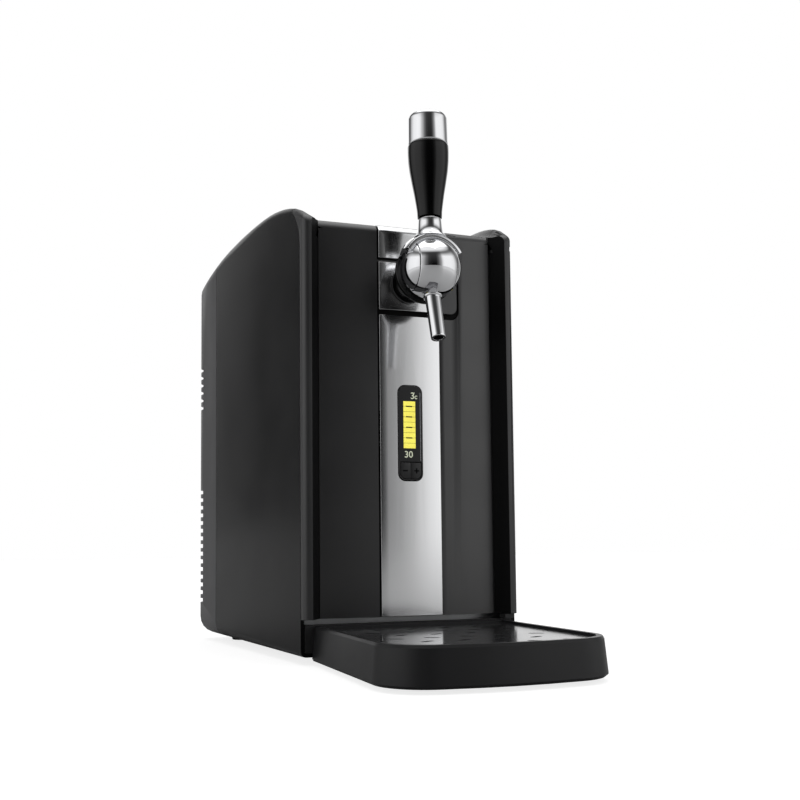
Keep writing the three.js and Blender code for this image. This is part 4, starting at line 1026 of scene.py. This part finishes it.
class KEG_OT_tap(Operator):
    """Make the tap: socket, ball, yoke, grip, cap and spout"""

    bl_idname = "keg.tap"
    bl_label = "Tap"

    def execute(self, context):
        tap = context.scene.keg_tap
        radius = BALL_RADIUS / MM
        at_ball = Matrix.Translation(BALL_MIDDLE)
        leaning = at_ball @ Matrix.Rotation(-tap.lean, 4, "X")
        self.ball(tap.steps, radius, at_ball)
        self.yoke(tap.steps, radius, leaning)
        self.lever(tap.steps, leaning)
        self.socket(tap.steps)
        self.spout(tap.steps)
        steel = plated_steel()
        dressed("tap_nut", "socket_nut", steel, 0.4 * MM)
        dressed("valve_stem", "stem", steel, 0.3 * MM)
        dressed("tap_pin", "yoke_pin", steel, 0.3 * MM)
        return {"FINISHED"}

    def ball(self, steps, radius, place):
        """The ball between its two end caps, a drum with a round wall."""
        edge = math.asin(DRUM_HALF / radius)
        angles = [edge * (2 * i / 48 - 1) for i in range(49)]
        wall = [(radius * math.cos(a), radius * math.sin(a)) for a in angles]
        profile = [(0, -DRUM_HALF), *wall, (0, DRUM_HALF)]
        made = turned("ball", profile, steps, "X", place)
        made.data.materials.append(chrome())
        rounded_edges(made, 0.5 * MM, 3, 40)
        settled(made, "door", "chrome", "tap_ball")

    def yoke(self, steps, radius, place):
        """The ball's two end caps, the saddle over it and the neck under the grip."""
        inner = DRUM_HALF + CAP_GAP
        edge = math.asin(inner / radius)
        arc = [edge + (math.pi / 2 - edge) * i / 24 for i in range(24)]
        pieces = []
        for side in (-1, 1):
            bend = [(radius * math.cos(a), side * radius * math.sin(a)) for a in arc]
            profile = [(0, side * inner), *bend, (0, side * radius)]
            pieces.append(turned("cap", profile, steps, "X", place))
        low = radius + SADDLE_GAP
        pieces.append(self.saddle(low, low + SADDLE_THICK, place))
        foot = radius + NECK_GAP
        top = self.along_lever("tap_yoke", 1)
        neck = [(0, foot), *[(r, foot + rise) for r, rise in NECK_FOOT]]
        neck += [*[(r, top - drop) for r, drop in NECK_TOP], (0, top)]
        pieces.append(turned("neck", neck, steps, "Z", place))
        for piece in pieces:
            piece.data.materials.append(chrome())
            rounded_edges(piece, 0.45 * MM, 3, 40)
        made = joined("yoke", pieces)
        settled(made, "tap_lever", "chrome", "tap_yoke")

    def along_lever(self, node, end):
        """How far a node's lower (0) or upper (1) end lies along the lever from the ball, in millimetres."""
        lean = bpy.context.scene.keg_tap.lean
        low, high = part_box(node)
        radius = (high.x - low.x) / 2
        height = (low, high)[end].z - BALL_MIDDLE.z
        return (height / math.cos(lean) - (2 * end - 1) * radius * math.tan(lean)) / MM

    def saddle(self, low, high, place):
        """The arched band over the ball, between two radii."""
        half, steps = SADDLE_HALF, 48
        form = bmesh.new()
        sections = []
        for i in range(steps + 1):
            a = SADDLE_REACH * (2 * i / steps - 1)
            ring = []
            for r, y in ((low, -half), (high, -half), (high + SADDLE_CROWN, 0), (high, half), (low, half)):
                flat = math.sqrt(r * r - y * y)
                ring.append(form.verts.new((flat * math.sin(a) * MM, y * MM, flat * math.cos(a) * MM)))
            sections.append(ring)
        skin(form, sections)
        form.faces.new(sections[0])
        form.faces.new(sections[-1][::-1])
        mesh = outwards("saddle", form)
        mesh.transform(place)
        return to_scene("saddle", mesh)

    def lever(self, steps, place):
        """The black grip, swelling upwards, and the chrome cap on it."""
        top = self.along_lever("tap_grip", 1)
        wall = [(r, GRIP_BASE + (top - GRIP_BASE) * along) for along, r in GRIP_SHARES]
        grip = [(0, GRIP_BASE), *wall, (0, top)]
        made = turned("grip", grip, steps, "Z", place)
        made.data.materials.append(black_gloss())
        smooth(made.data, 30)
        settled(made, "tap_lever", "gloss", "tap_grip")
        foot = top + CAP_SEAM
        end = self.along_lever("tap_cap", 1) - CAP_CLEARANCE
        r = (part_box("tap_cap")[1].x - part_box("tap_cap")[0].x) / 2 / MM
        cap = [(0, foot), *[(r - inset, foot + rise) for inset, rise in CAP_FOOT_INSETS]]
        cap += [*[(r - inset, end - drop) for inset, drop in CAP_CROWN_INSETS], (0, end)]
        made = turned("cap_end", cap, steps, "Z", place)
        made.data.materials.append(chrome())
        smooth(made.data, 40)
        settled(made, "tap_lever", "chrome", "tap_cap")

    def socket(self, steps):
        """The black bell behind the ball, with two fine rings."""
        low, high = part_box("tap_shank")
        base_y = STRIP_LOW.y - SOCKET_GAP * MM
        reach = (base_y - low.y) / MM
        outer = (high.x - low.x) / 2 / MM
        profile = [(0, 0), *SOCKET_FLANGE, (SOCKET_NECK, SOCKET_FLANGE[-1][1])]
        profile += [(SOCKET_NECK + (outer - SOCKET_NECK) * out, along * reach) for along, out in BELL_SHARES]
        profile += [(outer - inset, along * reach) for along, inset in BELL_RING_SHARES]
        profile += [(outer - inset, reach - drop) for inset, drop in BELL_RIM_INSETS]
        profile.append((0, reach - BELL_FLOOR))
        turn = Matrix.Translation((0, base_y, BALL_MIDDLE.z)) @ Matrix.Rotation(math.pi / 2, 4, "X")
        made = turned("socket", profile, steps, "Z", turn)
        black = moulded("Socket black", (0.003, 0.003, 0.0032), 0.2, 0.04, 1400, 0.03, 0.3)
        made.data.materials.append(black)
        smooth(made.data, 40)
        settled(made, "door", "gloss", "tap_shank")

    def spout(self, steps):
        """The pouring spout, with a collar at its root and painted shade in its bore."""
        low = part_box("spout")[0]
        lean, mouth, bore, length = SPOUT_LEAN, SPOUT_MOUTH, SPOUT_BORE, SPOUT_LENGTH
        collar, round_edge = length - SPOUT_COLLAR_DROP, SPOUT_COLLAR - 0.3
        bottom = collar - SPOUT_COLLAR_DROP
        profile = [(0, bottom), (bore, bottom), (bore, 0.4), (bore + 0.4, 0), (mouth - 0.3, 0)]
        profile += [(mouth - 0.05, 0.3), (mouth, 1.2), (mouth + 0.25, length * 0.5)]
        profile += [(mouth + 0.5, bottom - 0.6), (round_edge, bottom - 0.1), (SPOUT_COLLAR, bottom + 0.3)]
        profile += [(SPOUT_COLLAR, collar - 0.5), (round_edge, collar), (SPOUT_ROOT + 0.2, collar + 0.4)]
        profile += [(SPOUT_ROOT, length), (0, length)]
        place = Vector((0, low.y + mouth * MM * math.cos(lean), low.z + mouth * MM * math.sin(lean)))
        turn = Matrix.Translation(place) @ Matrix.Rotation(-lean, 4, "X")
        made = turned("pouring_spout", profile, steps, "Z", turn)
        made.data.materials.append(chrome())
        # Painted shade: the faces inside the bore get the near-black material, for the shade in the hole
        made.data.materials.append(painted_shade_black())
        for face in made.data.polygons:
            local = turn.inverted() @ face.center
            flat = math.hypot(local.x, local.y)
            if flat < (bore + 0.2) * MM and 0.2 * MM < local.z < (collar - 2) * MM:
                face.material_index = 1
        smooth(made.data, 40)
        settled(made, "door", "chrome", "spout")


class KEG_OT_tray(Operator):
    """Dress the drip tray and its loose plate"""

    bl_idname = "keg.tray"
    bl_label = "Drip tray"

    def execute(self, context):
        tray = context.scene.keg_tray
        tub = moulded("Tray plastic", tray.colour[:], 0.36, 0.04, 2000, 0.1, 0.3)
        dressed("drip_tray", "tray_tub", tub, tray.edge, 3, 28)
        sheet = moulded("Glossy plate", tray.plate_colour[:], 0.13, 0.03, 500, 0.02, 0.6, 0.75, 1.1)
        dressed("tray_plate", "tray_grid", sheet, 0.4 * MM, 2, 40)
        return {"FINISHED"}


class KEG_OT_inside(Operator):
    """Dress the chamber, the cooler and the electrics"""

    bl_idname = "keg.inside"
    bl_label = "Inside"

    def execute(self, context):
        sheet = brushed("Chamber sheet", (0.6, 0.61, 0.62), 0.36, 0.08, 900, 30, 0.06)
        dressed("chamber_liner", "keg_chamber", sheet, 0.4 * MM, 2, 40)
        foam = moulded("Case foam", (0.78, 0.75, 0.66), 0.92, 0.04, 600, 0.6, 0.2)
        dressed("foam_insulation", "case_foam", foam, 0.3 * MM, 1, 40)
        rubber = moulded("Seat rubber", (0.02, 0.02, 0.02), 0.8, 0.05, 800, 0.35, 0.3)
        dressed("keg_seat", "seat_mat", rubber, 0.8 * MM, 3, 40)
        alloy = brushed("Cooler aluminium", (0.62, 0.63, 0.65), 0.34, 0.1, 1400, 20, 0.06)
        dressed("cold_plate", "cold_block", alloy, 0.4 * MM)
        white = moulded("Module ceramic", (0.8, 0.8, 0.77), 0.45, 0.05, 900, 0.05, 0.5)
        dressed("peltier_module", "cooling_module", white, 0.2 * MM, 1)
        self.heat_sink(alloy)
        black = moulded("Fan plastic", (0.012, 0.012, 0.013), 0.4, 0.05, 1200, 0.08, 0.5)
        dressed("fan_frame", "fan_housing", black, 0.5 * MM, 2, 40)
        dressed("fan_rotor", "fan_wheel", black, 0.3 * MM, 2, 40)
        unit = moulded("Unit metal", (0.36, 0.37, 0.38), 0.38, 0.08, 900, 0.06, 0.5, 0.9, 1.12)
        dressed("power_supply", "supply_case", unit, 0.8 * MM, 3)
        dressed("air_pump", "pump_case", unit, 0.5 * MM, 2, 40)
        dressed("mains_inlet", "inlet_socket", black, 0.4 * MM, 2, 40)
        shelf = moulded("Shelf plastic", (0.06, 0.06, 0.062), 0.55, 0.05, 1500, 0.12, 0.4)
        dressed("electrics_shelf", "shelf", shelf, 0.5 * MM)
        board = moulded("Board green", (0.02, 0.1, 0.045), 0.45, 0.06, 900, 0.1, 0.5)
        dressed("control_board", "main_circuit", board, 0.15 * MM, 1)
        dark_steel = moulded("Blackened steel", (0.02, 0.02, 0.021), 0.4, 0.05, 1200, 0.06, 0.4)
        dressed("hinge_lower", "lower_bracket", dark_steel, 0.4 * MM)
        dressed("hinge_upper", "upper_bracket", dark_steel, 0.4 * MM)
        return {"FINISHED"}

    def heat_sink(self, material):
        """The finned block, its fins copied along X."""
        low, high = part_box("heat_sink")
        root = low.y + FIN_ROOT
        pitch = (high.x - low.x - FIN_THICK) / (FINS - 1)
        block = plate("block", box_outline(low.x, high.x, low.z, high.z), low.y, root, material)
        rounded_edges(block, 0.3 * MM, 2)
        row = row_of_blocks(
            "fins",
            FINS,
            (low.x + FIN_THICK / 2, (root + high.y) / 2, (low.z + high.z) / 2),
            (pitch, 0, 0),
            (FIN_THICK, high.y - root, high.z - low.z),
            material,
        )
        made = joined("finned_sink", [block, row])
        settled(made, "cabinet", "aluminium", "heat_sink")


# Stage


class KEG_OT_stage(Operator):
    """Set the floor, the studio light, the world and the camera"""

    bl_idname = "keg.stage"
    bl_label = "Stage"

    def execute(self, context):
        scene = context.scene
        scene.view_settings.view_transform = "Standard"
        self.camera(scene)
        self.floor()
        self.world(scene)
        self.lamp()
        return {"FINISHED"}

    def camera(self, scene):
        stage = scene.keg_stage
        yaw, pitch, roll = stage.yaw, stage.pitch, stage.roll
        ahead = Vector((math.sin(yaw) * math.cos(pitch), math.cos(yaw) * math.cos(pitch), math.sin(pitch)))
        level = ahead.cross(Vector((0, 0, 1))).normalized()
        upright = level.cross(ahead)
        right = level * math.cos(roll) + upright * math.sin(roll)
        up = upright * math.cos(roll) - level * math.sin(roll)
        lens = bpy.data.cameras.new("Camera")
        lens.lens = stage.lens
        lens.sensor_width = 36
        lens.shift_y = stage.shift
        lens.clip_start = 0.01
        lens.clip_end = 100
        holder = to_scene("Camera", lens)
        turn = Matrix((right, up, -ahead)).transposed().to_4x4()
        holder.matrix_world = Matrix.Translation(stage.camera) @ turn
        scene.camera = holder

    def floor(self):
        half = FLOOR_HALF
        ground = plate("Floor", box_outline(-half, half, -half, half), -FLOOR_THICK, 0, self.floor_finish())
        ground.data.transform(Matrix.Rotation(math.pi / 2, 4, "X"))

    def floor_finish(self):
        """A pale floor that keeps the shadow: white to the camera, and to mirrors a painted light of the
        studio's boxes by bearing, faded to painted shade near the object.
        """
        made, tree, shader = plain_material("Pale floor", 0, 0.2)
        add = tree.nodes.new
        shader.inputs["Roughness"].default_value = 0.9
        greys = {"Dark": (0.43, 0.43, 0.43, 1), "Light": (0.46, 0.46, 0.46, 1), "Scale": 0.4}
        tint = group_node(tree, tint_drift(), greys)
        tree.links.new(tint.outputs["Color"], shader.inputs["Base Color"])
        place = add("ShaderNodeTexCoord").outputs["Object"]
        reach = add("ShaderNodeVectorMath")
        reach.operation = "LENGTH"
        tree.links.new(place, reach.inputs[0])
        # Painted shade: the glow that mirrors see fades out near the object, as if the object shaded the
        # floor
        fade = add("ShaderNodeMapRange")
        fade.inputs["From Min"].default_value, fade.inputs["From Max"].default_value = FLOOR_PAINTED_SHADE_FADE
        tree.links.new(reach.outputs["Value"], fade.inputs["Value"])
        # Painted light: the studio's boxes by bearing, laid on the floor as a glow that mirrors see
        boxes = calc(tree, "MULTIPLY", self.by_bearing(tree, place), FLOOR_PAINTED_LIGHT)
        painted_light = calc(tree, "MULTIPLY", boxes, fade.outputs["Result"])
        path = add("ShaderNodeLightPath").outputs
        mirrors = calc(tree, "MAXIMUM", path["Is Glossy Ray"], path["Is Transmission Ray"])
        to_camera = calc(tree, "MULTIPLY", path["Is Camera Ray"], FLOOR_GLOW)
        level = calc(tree, "ADD", calc(tree, "MULTIPLY", mirrors, painted_light), to_camera)
        shader.inputs["Emission Color"].default_value = (1, 1, 1, 1)
        tree.links.new(level, shader.inputs["Emission Strength"])
        return made

    def world(self, scene):
        """White behind the object, and a studio of soft boxes round it that lights it."""
        world = bpy.data.worlds.new("Studio")
        scene.world = world
        world.use_nodes = True
        tree = world.node_tree
        tree.nodes.clear()
        add, join = tree.nodes.new, joiner(tree)
        end = add("ShaderNodeOutputWorld")
        behind = add("ShaderNodeBackground")
        behind.inputs["Color"].default_value = (1, 1, 1, 1)
        around = add("ShaderNodeBackground")
        tree.links.new(self.studio(tree), around.inputs["Color"])
        path = add("ShaderNodeLightPath")
        mix = add("ShaderNodeMixShader")
        join(path, "Is Camera Ray", mix, "Fac")
        join(around, "Background", mix, 1)
        join(behind, "Background", mix, 2)
        join(mix, "Shader", end, "Surface")

    def by_bearing(self, tree, place):
        """The studio's brightness by the bearing of a place or direction."""
        split = tree.nodes.new("ShaderNodeSeparateXYZ")
        tree.links.new(place, split.inputs["Vector"])
        turn = tree.nodes.new("ShaderNodeMapRange")
        turn.inputs["From Min"].default_value = -math.pi
        turn.inputs["From Max"].default_value = math.pi
        bearing = calc(tree, "ARCTAN2", split.outputs["X"], split.outputs["Y"])
        tree.links.new(bearing, turn.inputs["Value"])
        return self.ramp(tree, [((a + 180) / 360, v) for a, v in STUDIO_BEARINGS], turn.outputs["Result"])

    def studio(self, tree):
        """The studio's brightness: boxes at both sides, a backdrop and a box overhead."""
        place = tree.nodes.new("ShaderNodeTexCoord").outputs["Generated"]
        split = tree.nodes.new("ShaderNodeSeparateXYZ")
        tree.links.new(place, split.inputs["Vector"])
        level, overhead = [
            self.ramp(tree, [(math.sin(math.radians(a)), v) for a, v in heights], split.outputs["Z"])
            for heights in (STUDIO_HEIGHTS, OVERHEAD_HEIGHTS)
        ]
        return calc(tree, "ADD", calc(tree, "MULTIPLY", self.by_bearing(tree, place), level), overhead)

    def ramp(self, tree, stops, source):
        node = tree.nodes.new("ShaderNodeValToRGB")
        elements = node.color_ramp.elements
        while len(elements) < len(stops):
            elements.new(0.5)
        for element, (position, value) in zip(elements, stops):
            element.position = position
            element.color = (value, value, value, 1)
        tree.links.new(source, node.inputs["Fac"])
        return node.outputs["Color"]

    def lamp(self):
        """A weak soft lamp above the object."""
        light = bpy.data.lights.new("Top light", "AREA")
        light.size = LAMP_SIZE
        light.energy = LAMP_POWER
        holder = to_scene("Top light", light)
        holder.location = LAMP_PLACE
        direction = Vector(LAMP_AIM) - Vector(LAMP_PLACE)
        holder.rotation_euler = direction.to_track_quat("-Z", "Y").to_euler()


class KEG_PT_panel(Panel):
    """Settings and makers of the dispenser"""

    bl_idname = "KEG_PT_panel"
    bl_label = "Mini Keg Dispenser"
    bl_space_type = "VIEW_3D"
    bl_region_type = "UI"
    bl_category = "Dispenser"

    def draw(self, context):
        for maker in MAKERS:
            self.layout.operator(maker.bl_idname)
        for name in SETTINGS:
            box = self.layout.box()
            settings = getattr(context.scene, name)
            for prop in settings.bl_rna.properties:
                if prop.identifier not in {"rna_type", "name"}:
                    box.prop(settings, prop.identifier)


SETTINGS = {
    "keg_case": CaseSettings,
    "keg_door": DoorSettings,
    "keg_display": DisplaySettings,
    "keg_tap": TapSettings,
    "keg_tray": TraySettings,
    "keg_stage": StageSettings,
}
MAKERS = (
    KEG_OT_stage,
    KEG_OT_case,
    KEG_OT_screws,
    KEG_OT_door,
    KEG_OT_strip,
    KEG_OT_display,
    KEG_OT_tap,
    KEG_OT_tray,
    KEG_OT_inside,
)


def register():
    for name, settings in SETTINGS.items():
        bpy.utils.register_class(settings)
        setattr(bpy.types.Scene, name, PointerProperty(type=settings))
    for maker in MAKERS:
        bpy.utils.register_class(maker)
    bpy.utils.register_class(KEG_PT_panel)


def unregister():
    bpy.utils.unregister_class(KEG_PT_panel)
    for maker in reversed(MAKERS):
        bpy.utils.unregister_class(maker)
    for name, settings in reversed(SETTINGS.items()):
        delattr(bpy.types.Scene, name)
        bpy.utils.unregister_class(settings)


def main():
    register()
    for maker in MAKERS:
        group, name = maker.bl_idname.split(".")
        getattr(getattr(bpy.ops, group), name)()


if __name__ == "__main__":
    main()
